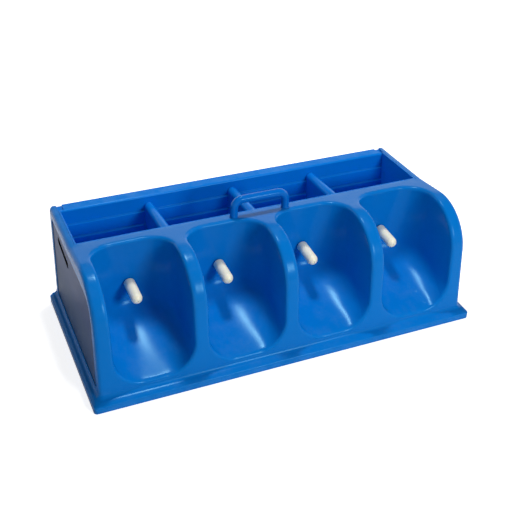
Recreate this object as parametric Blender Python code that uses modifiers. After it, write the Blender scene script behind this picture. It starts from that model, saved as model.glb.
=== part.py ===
"""Milk feeder with four teats: a moulded housing with four scoops, a drop-in milk tray, a bow handle,
and in each scoop a soft teat on a valve with a loose check ball.

Metres, +Z up, -Y is the side the animals drink from, and the origin is under the middle of the foot flange.
Places along the depth are written as a distance forward of the back face, and at_depth turns one into a Y.
"""
from math import acos, asin, cos, pi, radians, sin, sqrt, tan

import bmesh
import bpy
from mathutils import Matrix, Vector

# Gaps and walls
CLEARANCE = 0.0003
WALL = 0.003
TRAY_WALL = 0.0022
CUT_PAST = 0.010

# Scoops
SCOOP_COUNT = 4
SCOOP_PITCH = 0.1282
SCOOP_RIB = 0.0206
SCOOP_SETBACK = 0.0185
SCOOP_LEAN = radians(2.0)
SCOOP_CORNER = 0.033
SCOOP_NOSE = 0.058
SCOOP_LIP_HEIGHT = 0.0236
SCOOP_LOWER_CORNER = 0.040
SCOOP_BEND_HEIGHT = 0.077
SCOOP_FLOOR_POWER = 2.2

# Housing
BODY_DEPTH = 0.2486
SKIN_FOOT_GAP = 0.0015
FRONT_DRAFT = radians(4.94)
FRONT_RADIUS = 0.065
RIM_BACK_HEIGHT = 0.1580
DECK_BACK = 0.1125
DECK_RISE = 0.0038
DECK_SLOPE = radians(7.1)
END_MARGIN = 0.0097
END_TAPER = radians(1.42)
END_ROUND = 0.006

# Foot flange and base
FLANGE_SIDE = 0.0098
FLANGE_FRONT = 0.0112
FLANGE_EDGE = 0.0105
FLANGE_RISE = 0.0025
FLANGE_CORNER = 0.005
LEDGE_WIDTH = 0.0175
LEDGE_WIDTH_BACK = 0.0115
FOOT_RIM = 0.0045
FOOT_OVERLAP = 0.001
BASE_THICKNESS = 0.004
SCREW_RADIUS = 0.00175
SCREW_HEAD_RADIUS = 0.0035
SCREW_HEAD_HEIGHT = 0.0021
SCREW_LENGTH = 0.0105
SCREW_SPREAD = 0.180

# End panels
WINDOW_MARGIN_BACK = 0.015
WINDOW_MARGIN_FRONT = 0.0145
WINDOW_MARGIN_TOP = 0.0118
WINDOW_BOTTOM = 0.021
WINDOW_CORNER = 0.030
WINDOW_SMALL_CORNER = 0.005
PANEL_RECESS = 0.001
PANEL_FLANGE = 0.005
PANEL_FLANGE_THICKNESS = 0.002
SLOT_LENGTH = 0.060
SLOT_HEIGHT = 0.010
SLOT_TILT = radians(8.6)
SLOT_BACK_MARGIN = 0.060
SLOT_TOP_MARGIN = 0.018

# Milk tray
TRAY_STRIP = 0.0175
TRAY_LIP_THICKNESS = 0.0034
TRAY_LIP_STEP = 0.0020
TRAY_LIP_ROUND = 0.003
TRAY_LIP_END_GAP = 0.008
BIN_FLOOR_DROP = 0.0135
BIN_FLOOR_RISE = 0.004
DIVIDER_THICKNESS = 0.013
DIVIDER_DROP = 0.0112
DIVIDER_RISE = 0.008
DIVIDER_SPREAD = 0.003
DIVIDER_STEPS = 8
LEDGE_DROPS = (0.0224, 0.0429)
LEDGE_STEP = 0.0025
LEDGE_FALL = 0.0018

# Carry handle
HANDLE_SPAN = 0.0766
HANDLE_DIAMETER = 0.011
HANDLE_RISE = 0.0319
HANDLE_AHEAD = 0.001
HANDLE_BEND = 0.012
HANDLE_BEND_STEPS = 6
SPIGOT_DIAMETER = 0.006
SPIGOT_ROOT = 0.004
SPIGOT_TIP = 0.001
WASHER_DIAMETER = 0.012
WASHER_THICKNESS = 0.0012
NUT_FLATS = 0.010
NUT_THICKNESS = 0.005

# Teats and their valves
TEAT_HEIGHT = 0.0975
TEAT_RADIUS = 0.00765
TEAT_DROOP = radians(3.5)
TEAT_REACH = 0.0300
TEAT_WALL = 0.0029
TEAT_ROOT = 0.0044
TEAT_ROOT_BEVEL = 0.0020
TEAT_LIP = 0.0008
TEAT_LIP_LENGTH = 0.0009
TEAT_ROOM = 0.0008
TEAT_CHANNEL_RADIUS = 0.00325
TEAT_HOLE = 0.0008
TIP_STEPS = 5
PIVOT_AHEAD = 0.0062
BARB_RADIUS = 0.0044
BARB_TIP_RADIUS = 0.0019
BARB_STEPS = 5
NECK_RADIUS = 0.0020
HEX_FLATS = 0.016
HEX_THICKNESS = 0.003
SEAL_THICKNESS = 0.0014
SEAL_RADIUS = 0.0075
CHAMBER_RADIUS = 0.0036
CHAMBER_WALL = 0.0014
CHAMBER_CAP = 0.0010
CHAMBER_LENGTH = 0.0135
CHANNEL_RADIUS = 0.0012
SEAT_FLANGE_RADIUS = 0.0055
SEAT_FLANGE_THICKNESS = 0.0015
SEAT_DEPTH = 0.0055
SEAT_INLET = 0.0016
SEAT_MOUTH = 0.0024
BALL_RADIUS = 0.003
BOSS_RADIUS = 0.0070
BOSS_GAP = 0.0015

# Round steps
ROUND_STEPS = 16
FINE_STEPS = 20
SCREW_STEPS = 12
CORNER_ARC_STEPS = 4

# Sizes that follow from the ones above
DECK_BACK_HEIGHT = RIM_BACK_HEIGHT + DECK_RISE
SCOOP_BACK = DECK_BACK + SCOOP_SETBACK
WINDOW_TOP = RIM_BACK_HEIGHT - WINDOW_MARGIN_TOP
BIN_FLOOR_FRONT = TEAT_HEIGHT - BIN_FLOOR_DROP
DIVIDER_HEIGHT = RIM_BACK_HEIGHT - DIVIDER_DROP
HANDLE_TOP = DECK_BACK_HEIGHT + HANDLE_RISE
SCOOP_WIDTH = SCOOP_PITCH - SCOOP_RIB
CELL_EDGE = SCOOP_PITCH * SCOOP_COUNT / 2
FLANGE_DEPTH = BODY_DEPTH + FLANGE_FRONT
SKIN_BOTTOM = BASE_THICKNESS + 2 * CLEARANCE + SKIN_FOOT_GAP
RIM_SLOPE = (DECK_BACK_HEIGHT - RIM_BACK_HEIGHT) / DECK_BACK
TRAY_FRONT = DECK_BACK - CLEARANCE
TRAY_HALF = CELL_EDGE - CLEARANCE
TRAY_INSIDE_FRONT = TRAY_FRONT - TRAY_WALL
SHANK_RADIUS = BARB_RADIUS
HOLE_RADIUS = SHANK_RADIUS + CLEARANCE


def at_depth(depth):
    """Y of a place that lies this far forward of the back face."""
    return FLANGE_DEPTH / 2 - depth


def end_x(z):
    """Half the body's length at a height, where the ends lean in towards the top."""
    return CELL_EDGE + END_MARGIN + (DECK_BACK_HEIGHT - z) * tan(END_TAPER)


def scoop_wall(z):
    """Depth of a scoop's back wall at a height above its bend."""
    deck_here = DECK_BACK_HEIGHT + (SCOOP_BACK - DECK_BACK) * tan(DECK_SLOPE)
    return SCOOP_BACK - (deck_here - z) * tan(SCOOP_LEAN)


def scoop_centres():
    """X of each scoop's middle."""
    return [(k + 0.5) * SCOOP_PITCH - CELL_EDGE for k in range(SCOOP_COUNT)]


# Scene, materials and small helpers

def clear_scene():
    for old in list(bpy.data.objects):
        bpy.data.objects.remove(old, do_unlink=True)


def new_collection(name):
    made = bpy.data.collections.new(name)
    bpy.context.scene.collection.children.link(made)
    return made


def plastic(name, color, roughness, metallic=0.0):
    made = bpy.data.materials.new(name)
    made.use_nodes = True
    shader = made.node_tree.nodes["Principled BSDF"]
    shader.inputs["Base Color"].default_value = (*color, 1.0)
    shader.inputs["Roughness"].default_value = roughness
    shader.inputs["Metallic"].default_value = metallic
    made.diffuse_color = (*color, 1.0)
    return made


clear_scene()
PARTS = new_collection("milk_feeder")
CUTTERS = new_collection("cutters")
BLUE = (0.004, 0.13, 0.55)
MATERIALS = {
    "housing": plastic("housing_blue", BLUE, 0.28),
    "tray": plastic("tray_blue", (0.004, 0.15, 0.60), 0.28),
    "panel": plastic("panel_blue", (0.008, 0.06, 0.22), 0.22),
    "handle": plastic("handle_blue", (0.004, 0.12, 0.58), 0.15),
    "base": plastic("base_blue", (0.005, 0.09, 0.38), 0.40),
    "teat": plastic("teat_rubber", (0.86, 0.83, 0.76), 0.50),
    "valve": plastic("valve_nylon", (0.75, 0.75, 0.72), 0.35),
    "seal": plastic("seal_rubber", (0.03, 0.03, 0.03), 0.60),
    "ball": plastic("ball_acetal", (0.85, 0.85, 0.85), 0.25),
    "steel": plastic("steel", (0.62, 0.62, 0.60), 0.30, 1.0),
}


def add_object(name, mesh, material=None, cutter=False):
    made = bpy.data.objects.new(name, mesh)
    (CUTTERS if cutter else PARTS).objects.link(made)
    if cutter:
        made.hide_render = True
        made.display_type = "WIRE"
    if material:
        mesh.materials.append(MATERIALS[material])
    return made


def mesh_from_bmesh(name, bm):
    mesh = bpy.data.meshes.new(name)
    bm.to_mesh(mesh)
    bm.free()
    return mesh


def smooth(made, angle=35.0):
    made.data.shade_smooth()
    made.data.set_sharp_from_angle(angle=radians(angle))


def box(name, low, high, material=None, cutter=False):
    """A box between two corners, with its place in its mesh."""
    bm = bmesh.new()
    middle = [(a + b) / 2 for a, b in zip(low, high)]
    size = [b - a for a, b in zip(low, high)]
    place = Matrix.Translation(middle) @ Matrix.Diagonal((*size, 1.0))
    bmesh.ops.create_cube(bm, size=1.0, matrix=place)
    return add_object(name, mesh_from_bmesh(name, bm), material, cutter)


def cylinder(name, radius, length, steps, place, material=None, cutter=False, radius_end=None):
    """A cylinder or cone of this length along its own Z, centred on place."""
    bm = bmesh.new()
    bmesh.ops.create_cone(bm, cap_ends=True, segments=steps, radius1=radius,
                          radius2=radius if radius_end is None else radius_end, depth=length, matrix=place)
    return add_object(name, mesh_from_bmesh(name, bm), material, cutter)


def along_y(x, depth, z):
    """Place for a piece whose own Z runs towards the back, at this depth."""
    return Matrix.Translation((x, at_depth(depth), z)) @ Matrix.Rotation(-pi / 2, 4, "X")


def turned(name, profile, steps, place, material=None, cutter=False, closed=False):
    """A profile of (radius, height) points, top to bottom on its outer side, turned about its own Z."""
    bm = bmesh.new()
    points = [bm.verts.new((r, 0.0, h)) for r, h in profile]
    for a, b in zip(points, points[1:]):
        bm.edges.new((a, b))
    if closed:
        bm.edges.new((points[-1], points[0]))
    made = add_object(name, mesh_from_bmesh(name, bm), material, cutter)
    made.matrix_world = place
    screw = made.modifiers.new("turn", "SCREW")
    screw.steps = steps
    screw.render_steps = steps
    screw.use_merge_vertices = True
    screw.merge_threshold = 0.00001
    screw.use_smooth_shade = True
    return made


def boolean(target, other, operation):
    step = target.modifiers.new(other.name, "BOOLEAN")
    step.operation = operation
    step.solver = "EXACT"
    step.object = other
    return step


def cut(target, other):
    return boolean(target, other, "DIFFERENCE")


def join(target, other):
    return boolean(target, other, "UNION")


def settle(made):
    """Replaces an object's curve or modifiers by the plain welded mesh that they make."""
    bpy.context.view_layer.update()
    shown = made.evaluated_get(bpy.context.evaluated_depsgraph_get())
    mesh = bpy.data.meshes.new_from_object(shown)
    bm = bmesh.new()
    bm.from_mesh(mesh)
    bmesh.ops.remove_doubles(bm, verts=bm.verts, dist=0.000001)
    bm.to_mesh(mesh)
    bm.free()
    name = made.name
    group = made.users_collection[0]
    plain = bpy.data.objects.new(name, mesh)
    plain.matrix_world = made.matrix_world.copy()
    plain.hide_render = made.hide_render
    plain.display_type = made.display_type
    bpy.data.objects.remove(made, do_unlink=True)
    plain.name = name
    group.objects.link(plain)
    return plain


def flat_plate(name, outline, low, high, place, material=None, cutter=False):
    """A plate with this outline in its own XY plane, from height low to high, as a plain mesh."""
    curve = bpy.data.curves.new(name, "CURVE")
    curve.dimensions = "2D"
    curve.fill_mode = "BOTH"
    curve.extrude = (high - low) / 2
    spline = curve.splines.new("POLY")
    spline.points.add(len(outline) - 1)
    for point, (u, v) in zip(spline.points, outline):
        point.co = (u, v, 0.0, 1.0)
    spline.use_cyclic_u = True
    made = add_object(name, curve, None, cutter)
    made.matrix_world = place @ Matrix.Translation((0.0, 0.0, (high + low) / 2))
    plain = settle(made)
    if material:
        plain.data.materials.clear()
        plain.data.materials.append(MATERIALS[material])
    return plain


def rounded(corners, steps):
    """An outline whose corners (u, v, radius) are rounded, for a convex shape."""
    outline = []
    count = len(corners)
    for k, (u, v, radius) in enumerate(corners):
        here = Vector((u, v))
        before = (Vector(corners[k - 1][:2]) - here).normalized()
        after = (Vector(corners[(k + 1) % count][:2]) - here).normalized()
        half = before.angle(after) / 2
        reach = radius / tan(half)
        centre = here + (before + after).normalized() * radius / sin(half)
        start = here + before * reach - centre
        end = here + after * reach - centre
        turn = start.angle_signed(end)
        for j in range(steps + 1):
            angle = -turn * j / steps
            arm = Matrix.Rotation(angle, 2) @ start
            outline.append(tuple(centre + arm))
    return outline


# The housing's outer skin, as an end view: depth forward of the back, and height

class Skin:
    """The line that the deck, the round front and the front face follow, with the length along it."""

    def __init__(self):
        self.deck_normal = (-sin(DECK_SLOPE), cos(DECK_SLOPE))
        self.front_normal = (cos(FRONT_DRAFT), sin(FRONT_DRAFT))
        deck_offset = self.dot(self.deck_normal, (DECK_BACK, DECK_BACK_HEIGHT)) - FRONT_RADIUS
        front_offset = self.dot(self.front_normal, (BODY_DEPTH, 0.0)) - FRONT_RADIUS
        a, b = self.deck_normal
        c, d = self.front_normal
        area = a * d - b * c
        self.centre = ((deck_offset * d - b * front_offset) / area,
                       (a * front_offset - deck_offset * c) / area)
        self.turn_start = -DECK_SLOPE
        self.turn_end = pi / 2 - FRONT_DRAFT
        self.deck_end = self.on_arc(self.turn_start)
        self.arc_end = self.on_arc(self.turn_end)
        self.deck_length = (self.deck_end[0] - DECK_BACK) / cos(DECK_SLOPE)
        self.arc_length = FRONT_RADIUS * (self.turn_end - self.turn_start)

    @staticmethod
    def dot(p, q):
        return p[0] * q[0] + p[1] * q[1]

    def on_arc(self, angle):
        return (self.centre[0] + FRONT_RADIUS * sin(angle), self.centre[1] + FRONT_RADIUS * cos(angle))

    def point(self, length):
        """Depth, height and outward normal at a length from the deck's back edge."""
        if length <= self.deck_length:
            return (DECK_BACK + length * cos(DECK_SLOPE), DECK_BACK_HEIGHT + length * sin(DECK_SLOPE),
                    *self.deck_normal)
        along = length - self.deck_length
        if along <= self.arc_length:
            angle = self.turn_start + along / FRONT_RADIUS
            return (*self.on_arc(angle), sin(angle), cos(angle))
        along -= self.arc_length
        return (self.arc_end[0] + along * sin(FRONT_DRAFT), self.arc_end[1] - along * cos(FRONT_DRAFT),
                *self.front_normal)

    def length_at_depth(self, depth):
        """Length at a depth on the deck or on the top of the round front."""
        if depth <= self.deck_end[0]:
            return (depth - DECK_BACK) / cos(DECK_SLOPE)
        angle = asin((depth - self.centre[0]) / FRONT_RADIUS)
        return self.deck_length + (angle - self.turn_start) * FRONT_RADIUS

    def length_at_height(self, height):
        """Length at a height on the round front or on the front face."""
        if height >= self.arc_end[1]:
            angle = acos(min(1.0, (height - self.centre[1]) / FRONT_RADIUS))
            return self.deck_length + (angle - self.turn_start) * FRONT_RADIUS
        return self.deck_length + self.arc_length + (self.arc_end[1] - height) / cos(FRONT_DRAFT)


SKIN = Skin()

SIDE_STEPS = 4
CORNER_STEPS = 6
BACK_STEPS = 2
ARC_ROWS = 5
FRONT_ROWS = 2
LOWER_ROWS = 5
ROUND_COLUMNS = 3
SHOULDER_ANGLE = radians(30.0)


def scoop_levels():
    """Heights of the level slices through a scoop, from below its shoulder down to its lip."""
    first = SKIN.deck_length + (SHOULDER_ANGLE - SKIN.turn_start) * FRONT_RADIUS
    last = SKIN.deck_length + SKIN.arc_length
    levels = [SKIN.point(first + (last - first) * (j + 1) / ARC_ROWS)[1] for j in range(ARC_ROWS)]
    low = SCOOP_LIP_HEIGHT + SCOOP_LOWER_CORNER
    levels += [SKIN.arc_end[1] + (low - SKIN.arc_end[1]) * (j + 1) / FRONT_ROWS for j in range(FRONT_ROWS)]
    for j in range(1, LOWER_ROWS + 1):
        rise = SCOOP_LOWER_CORNER * (1 - sin(pi / 2 * j / LOWER_ROWS))
        levels.append(SCOOP_LIP_HEIGHT + rise)
    return levels


def scoop_half_width(z):
    """Half the opening's width at a height, where the lower corners draw it in."""
    missing = max(0.0, SCOOP_LIP_HEIGHT + SCOOP_LOWER_CORNER - z)
    drawn_in = SCOOP_LOWER_CORNER - sqrt(max(0.0, SCOOP_LOWER_CORNER ** 2 - missing ** 2))
    return SCOOP_WIDTH / 2 - drawn_in


def scoop_back(z):
    """Depth of the scoop's back at a height: a nearly upright wall that bends into a floor."""
    wall = scoop_wall(max(z, SCOOP_BEND_HEIGHT))
    if z >= SCOOP_BEND_HEIGHT:
        return wall
    lip = SKIN.point(SKIN.length_at_height(SCOOP_LIP_HEIGHT))[0]
    fall = (SCOOP_BEND_HEIGHT - z) / (SCOOP_BEND_HEIGHT - SCOOP_LIP_HEIGHT)
    return wall + (lip - wall) * fall ** SCOOP_FLOOR_POWER


def bowl_share(z):
    """How far a level slice has gone from round corners at the deck, 0, to a bowl at the bend, 1."""
    deck = SKIN.point(SKIN.length_at_depth(SCOOP_BACK))[1]
    return min(1.0, max(0.0, (deck - z) / (deck - SCOOP_BEND_HEIGHT)))


def scoop_slice(half_width, back, front, bowl):
    """Left to right round a level slice: out along one side, round the back and in along the other."""
    corner_x = SCOOP_CORNER + (half_width - SCOOP_CORNER) * bowl
    corner_y = min(SCOOP_CORNER + (SCOOP_NOSE - SCOOP_CORNER) * bowl, (front - back) * 0.9)
    left = []
    for j in range(SIDE_STEPS):
        share = j / SIDE_STEPS
        left.append((-half_width, front + (back + corner_y - front) * share))
    for j in range(CORNER_STEPS + 1):
        angle = pi / 2 * j / CORNER_STEPS
        left.append((-half_width + corner_x * (1 - cos(angle)), back + corner_y * (1 - sin(angle))))
    right = [(-x, depth) for x, depth in reversed(left)]
    inner = left[-1][0]
    middle = [(inner + (-inner - inner) * j / BACK_STEPS, back) for j in range(1, BACK_STEPS)]
    return left + middle + right


def scoop_rows():
    """The scoop's surface as rows of (x, depth, z), the first one along its upper edge on the skin."""
    shoulder = SKIN.on_arc(SHOULDER_ANGLE)
    first = []
    for x, depth in scoop_slice(SCOOP_WIDTH / 2, SCOOP_BACK, shoulder[0], 0.0):
        first.append((x, depth, SKIN.point(SKIN.length_at_depth(depth))[1]))
    rows = [first]
    levels = scoop_levels()
    for z in levels[:-1]:
        front = SKIN.point(SKIN.length_at_height(z))[0]
        across = scoop_slice(scoop_half_width(z), scoop_back(z), front, bowl_share(z))
        rows.append([(x, depth, z) for x, depth in across])
    lip_half = scoop_half_width(levels[-1])
    lip_depth = SKIN.point(SKIN.length_at_height(levels[-1]))[0]
    count = len(first) - 1
    rows.append([(-lip_half + 2 * lip_half * i / count, lip_depth, levels[-1]) for i in range(count + 1)])
    return rows


def edge_loop(rows):
    """Grid places of the scoop's edge, clockwise as seen from outside."""
    last_column = len(rows[0]) - 1
    last_row = len(rows) - 1
    top = [(0, i) for i in range(last_column + 1)]
    right = [(j, last_column) for j in range(1, last_row + 1)]
    bottom = [(last_row, i) for i in range(last_column - 1, 0, -1)]
    left = [(j, 0) for j in range(last_row, 0, -1)]
    return top + right + bottom + left


def edge_length(row, point):
    """Length along the skin of a point on the scoop's edge."""
    if row == 0:
        return SKIN.length_at_depth(point[1])
    return SKIN.length_at_height(point[2])


def frame_targets(rows, loop):
    """For each edge point, the place on the border of the scoop's cell that it is joined to."""
    half_width = SCOOP_PITCH / 2
    end = SKIN.length_at_height(SKIN_BOTTOM)
    middle = end / 2
    spots = []
    for j, i in loop:
        point = rows[j][i]
        spots.append([point[0] / half_width, (edge_length(j, point) - middle) / middle])
    targets = []
    for u, v in spots:
        size = max(abs(u), abs(v))
        targets.append([u / size, v / size])
    for corner_u in (-1, 1):
        for corner_v in (-1, 1):
            nearest = min(range(len(targets)),
                          key=lambda k: (targets[k][0] - corner_u) ** 2 + (targets[k][1] - corner_v) ** 2)
            targets[nearest] = [corner_u, corner_v]
    return [(u * half_width, middle + v * middle) for u, v in targets]


class Builder:
    """Collects corner points given as x, depth and height, and the faces between them."""

    def __init__(self):
        self.mesh = bmesh.new()
        self.known = {}

    def corner(self, x, depth, z):
        key = (round(x, 7), round(depth, 7), round(z, 7))
        if key not in self.known:
            self.known[key] = self.mesh.verts.new((x, at_depth(depth), z))
        return self.known[key]

    def face(self, points):
        corners = []
        for point in points:
            vert = self.corner(*point)
            if vert not in corners:
                corners.append(vert)
        if len(corners) > 2:
            self.mesh.faces.new(corners)


def add_scoop_cell(builder, centre):
    """One scoop and the skin round it. Returns the lengths at which the cell's right border has points."""
    rows = scoop_rows()
    for upper, lower in zip(rows, rows[1:]):
        for i in range(len(upper) - 1):
            quad = (upper[i], lower[i], lower[i + 1], upper[i + 1])
            builder.face([(x + centre, depth, z) for x, depth, z in quad])
    loop = edge_loop(rows)
    inner = [rows[j][i] for j, i in loop]
    targets = frame_targets(rows, loop)
    outer = [(x, *SKIN.point(length)[:2]) for x, length in targets]
    for k in range(len(loop)):
        following = (k + 1) % len(loop)
        quad = (inner[k], inner[following], outer[following], outer[k])
        builder.face([(x + centre, depth, z) for x, depth, z in quad])
    half_width = SCOOP_PITCH / 2
    return sorted(length for x, length in targets if abs(x - half_width) < 1e-9)


def end_stations(lengths):
    """Places round the end's outline, back foot to front foot: (depth, z, inset direction)."""
    rim = Vector((DECK_BACK, DECK_BACK_HEIGHT - RIM_BACK_HEIGHT)).normalized()
    corner_drop = (1.0 + rim[1]) / rim[0] - rim[1] / rim[0]
    stations = [(0.0, SKIN_BOTTOM, (1.0, 0.0)),
                (0.0, RIM_BACK_HEIGHT, (1.0, rim[1] / rim[0] - corner_drop))]
    for length in lengths:
        depth, z, out_depth, out_z = SKIN.point(length)
        stations.append((depth, z, (-out_depth, -out_z)))
    foot_depth, foot_z, inward = stations[-1]
    stations[-1] = (foot_depth, foot_z, (-1.0 / cos(FRONT_DRAFT), 0.0))
    return stations


def add_end(builder, lengths):
    """The rim, the rounded edge and the flat end wall on the +X side, and half the back wall."""
    stations = end_stations(lengths)
    columns = []
    for k in range(ROUND_COLUMNS + 1):
        angle = pi / 2 * k / ROUND_COLUMNS
        inset = END_ROUND * (1 - cos(angle))
        column = []
        for depth, z, (in_depth, in_z) in stations:
            new_depth = depth + in_depth * inset
            new_z = z + in_z * inset
            column.append((end_x(new_z) - END_ROUND * (1 - sin(angle)), new_depth, new_z))
        columns.append(column)
    rim = [(CELL_EDGE, depth, z) for depth, z, inward in stations]
    for j in range(1, len(stations) - 1):
        builder.face([rim[j], rim[j + 1], columns[0][j + 1], columns[0][j]])
    for inner, outer in zip(columns, columns[1:]):
        for j in range(len(stations) - 1):
            builder.face([inner[j], inner[j + 1], outer[j + 1], outer[j]])
    builder.face(list(columns[-1]))
    back_top = RIM_BACK_HEIGHT - TRAY_LIP_THICKNESS - CLEARANCE
    builder.face([columns[0][0], (0.0, 0.0, SKIN_BOTTOM), (0.0, 0.0, back_top), (CELL_EDGE, 0.0, back_top),
                  rim[1], columns[0][1]])


def end_place(side):
    """Place whose own XY plane is an end wall's outer face: own X runs forward to back, times side."""
    height = Vector((-side * sin(END_TAPER), 0.0, cos(END_TAPER)))
    outward = Vector((side * cos(END_TAPER), 0.0, sin(END_TAPER)))
    run = Vector((0.0, side, 0.0))
    turn = Matrix((run, height, outward)).transposed().to_4x4()
    return Matrix.Translation((side * end_x(0.0), 0.0, 0.0)) @ turn


def window_outline(side, grow):
    """The end panel's outline, grown by this much, in an end place's own coordinates."""
    lean = cos(END_TAPER)
    low = WINDOW_BOTTOM / lean - grow
    high = WINDOW_TOP / lean + grow
    front_low = BODY_DEPTH - WINDOW_BOTTOM * tan(FRONT_DRAFT) - WINDOW_MARGIN_FRONT + grow
    front_high = BODY_DEPTH - WINDOW_TOP * tan(FRONT_DRAFT) - WINDOW_MARGIN_FRONT + grow
    back = WINDOW_MARGIN_BACK - grow
    corners = [(at_depth(front_low), low, WINDOW_SMALL_CORNER + grow),
               (at_depth(back), low, WINDOW_SMALL_CORNER + grow),
               (at_depth(back), high, WINDOW_SMALL_CORNER + grow),
               (at_depth(front_high), high, WINDOW_CORNER + grow)]
    corners = [(side * u, v, radius) for u, v, radius in corners]
    if side < 0:
        corners.reverse()
    return rounded(corners, CORNER_ARC_STEPS + 2)


def skirt_ring():
    """The foot flange with its sloped top, the inner ledge and the rebate for the base plate."""
    half = end_x(0.0) + FLANGE_SIDE
    body_half = end_x(FLANGE_EDGE + FLANGE_RISE) - FOOT_OVERLAP
    body_front = BODY_DEPTH - (FLANGE_EDGE + FLANGE_RISE) * tan(FRONT_DRAFT) - FOOT_OVERLAP
    sections = [(0.0, half, FLANGE_DEPTH), (FLANGE_EDGE, half, FLANGE_DEPTH),
                (FLANGE_EDGE + FLANGE_RISE, body_half, body_front)]
    bm = bmesh.new()
    rings = []
    for z, wide, front in sections:
        corners = [(-wide, at_depth(0.0), FLANGE_CORNER / 2), (-wide, at_depth(front), FLANGE_CORNER),
                   (wide, at_depth(front), FLANGE_CORNER), (wide, at_depth(0.0), FLANGE_CORNER / 2)]
        rings.append([bm.verts.new((x, y, z)) for x, y in rounded(corners, CORNER_ARC_STEPS)])
    for lower, upper in zip(rings, rings[1:]):
        count = len(lower)
        for k in range(count):
            following = (k + 1) % count
            bm.faces.new((lower[k], lower[following], upper[following], upper[k]))
    bm.faces.new(list(reversed(rings[0])))
    bm.faces.new(rings[-1])
    ring = add_object("skirt_ring", mesh_from_bmesh("skirt_ring", bm), None, True)
    ledge = FOOT_RIM + LEDGE_WIDTH
    hollow = box("skirt_hollow", (-half + ledge, at_depth(FLANGE_DEPTH - ledge), -CUT_PAST),
                 (half - ledge, at_depth(FOOT_RIM + LEDGE_WIDTH_BACK), FLANGE_EDGE + FLANGE_RISE + CUT_PAST),
                 cutter=True)
    rebate = base_outline_solid("base_rebate", CLEARANCE, -CUT_PAST, BASE_THICKNESS + CLEARANCE)
    cut(ring, hollow)
    cut(ring, rebate)
    return ring


def base_outline_solid(name, grow, low, high, material=None, cutter=True):
    """A solid of the base plate's outline, grown by this much."""
    half = end_x(0.0) + FLANGE_SIDE - FOOT_RIM - CLEARANCE + grow
    back = FOOT_RIM + CLEARANCE - grow
    front = FLANGE_DEPTH - FOOT_RIM - CLEARANCE + grow
    corner = FLANGE_CORNER / 2 + grow
    corners = [(-half, at_depth(back), corner), (-half, at_depth(front), corner),
               (half, at_depth(front), corner), (half, at_depth(back), corner)]
    return flat_plate(name, rounded(corners, CORNER_ARC_STEPS), low, high, Matrix(), material, cutter)


def screw_places():
    """X and depth of each base screw, on the housing's inner ledge."""
    front = FLANGE_DEPTH - FOOT_RIM - LEDGE_WIDTH / 2
    back = FOOT_RIM + LEDGE_WIDTH_BACK / 2
    side = end_x(0.0) + FLANGE_SIDE - FOOT_RIM - LEDGE_WIDTH / 2
    places = [(x, front) for x in (-SCREW_SPREAD, 0.0, SCREW_SPREAD)]
    places += [(x, back) for x in (-SCREW_SPREAD, 0.0, SCREW_SPREAD)]
    places += [(-side, FLANGE_DEPTH / 2), (side, FLANGE_DEPTH / 2)]
    return places


def handle_axis():
    """Depth of the handle's legs, a little ahead of midway between the tray and the scoops' back wall."""
    return (DECK_BACK + SCOOP_BACK - WALL) / 2 + HANDLE_AHEAD


def deck_place(x, depth, lift):
    """Place on the deck's outer face whose own Z is the deck's normal, lifted along it."""
    height = DECK_BACK_HEIGHT + (depth - DECK_BACK) * tan(DECK_SLOPE)
    tilt = Matrix.Rotation(-DECK_SLOPE, 4, "X")
    return Matrix.Translation((x, at_depth(depth), height)) @ tilt @ Matrix.Translation((0.0, 0.0, lift))


def make_housing():
    builder = Builder()
    lengths = []
    for centre in scoop_centres()[SCOOP_COUNT // 2:]:
        lengths = add_scoop_cell(builder, centre)
    add_end(builder, lengths)
    housing = add_object("housing_shell", mesh_from_bmesh("housing_shell", builder.mesh), "housing")
    other_half = housing.modifiers.new("other_half", "MIRROR")
    other_half.merge_threshold = 0.00001
    shell = housing.modifiers.new("wall", "SOLIDIFY")
    shell.thickness = WALL
    shell.offset = -1.0
    shell.use_even_offset = True
    join(housing, skirt_ring())
    for k, x in enumerate(scoop_centres()):
        wall_back = scoop_wall(TEAT_HEIGHT) - WALL
        start = TRAY_FRONT + BOSS_GAP
        length = wall_back + WALL / 2 - start
        boss = cylinder(f"boss_{k + 1}", BOSS_RADIUS, length, FINE_STEPS,
                        along_y(x, start + length / 2, TEAT_HEIGHT), cutter=True)
        join(housing, boss)
        bore = cylinder(f"boss_bore_{k + 1}", HOLE_RADIUS, length + CUT_PAST, ROUND_STEPS,
                        along_y(x, start + length / 2, TEAT_HEIGHT), cutter=True)
        cut(housing, bore)
    for side, name in ((-1, "left"), (1, "right")):
        window = flat_plate(f"window_{name}", window_outline(side, 0.0), -2 * WALL, 2 * WALL,
                            end_place(side), cutter=True)
        cut(housing, window)
        hole = cylinder(f"handle_hole_{name}", SPIGOT_DIAMETER / 2 + CLEARANCE, 4 * WALL, ROUND_STEPS,
                        deck_place(side * HANDLE_SPAN / 2, handle_axis(), 0.0), cutter=True)
        cut(housing, hole)
    for k, (x, depth) in enumerate(screw_places()):
        top = SCREW_LENGTH + 2 * CLEARANCE
        pilot = cylinder(f"pilot_{k + 1}", SCREW_RADIUS + CLEARANCE, top, SCREW_STEPS,
                         Matrix.Translation((x, at_depth(depth), top / 2)), cutter=True)
        cut(housing, pilot)
    return housing


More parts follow.
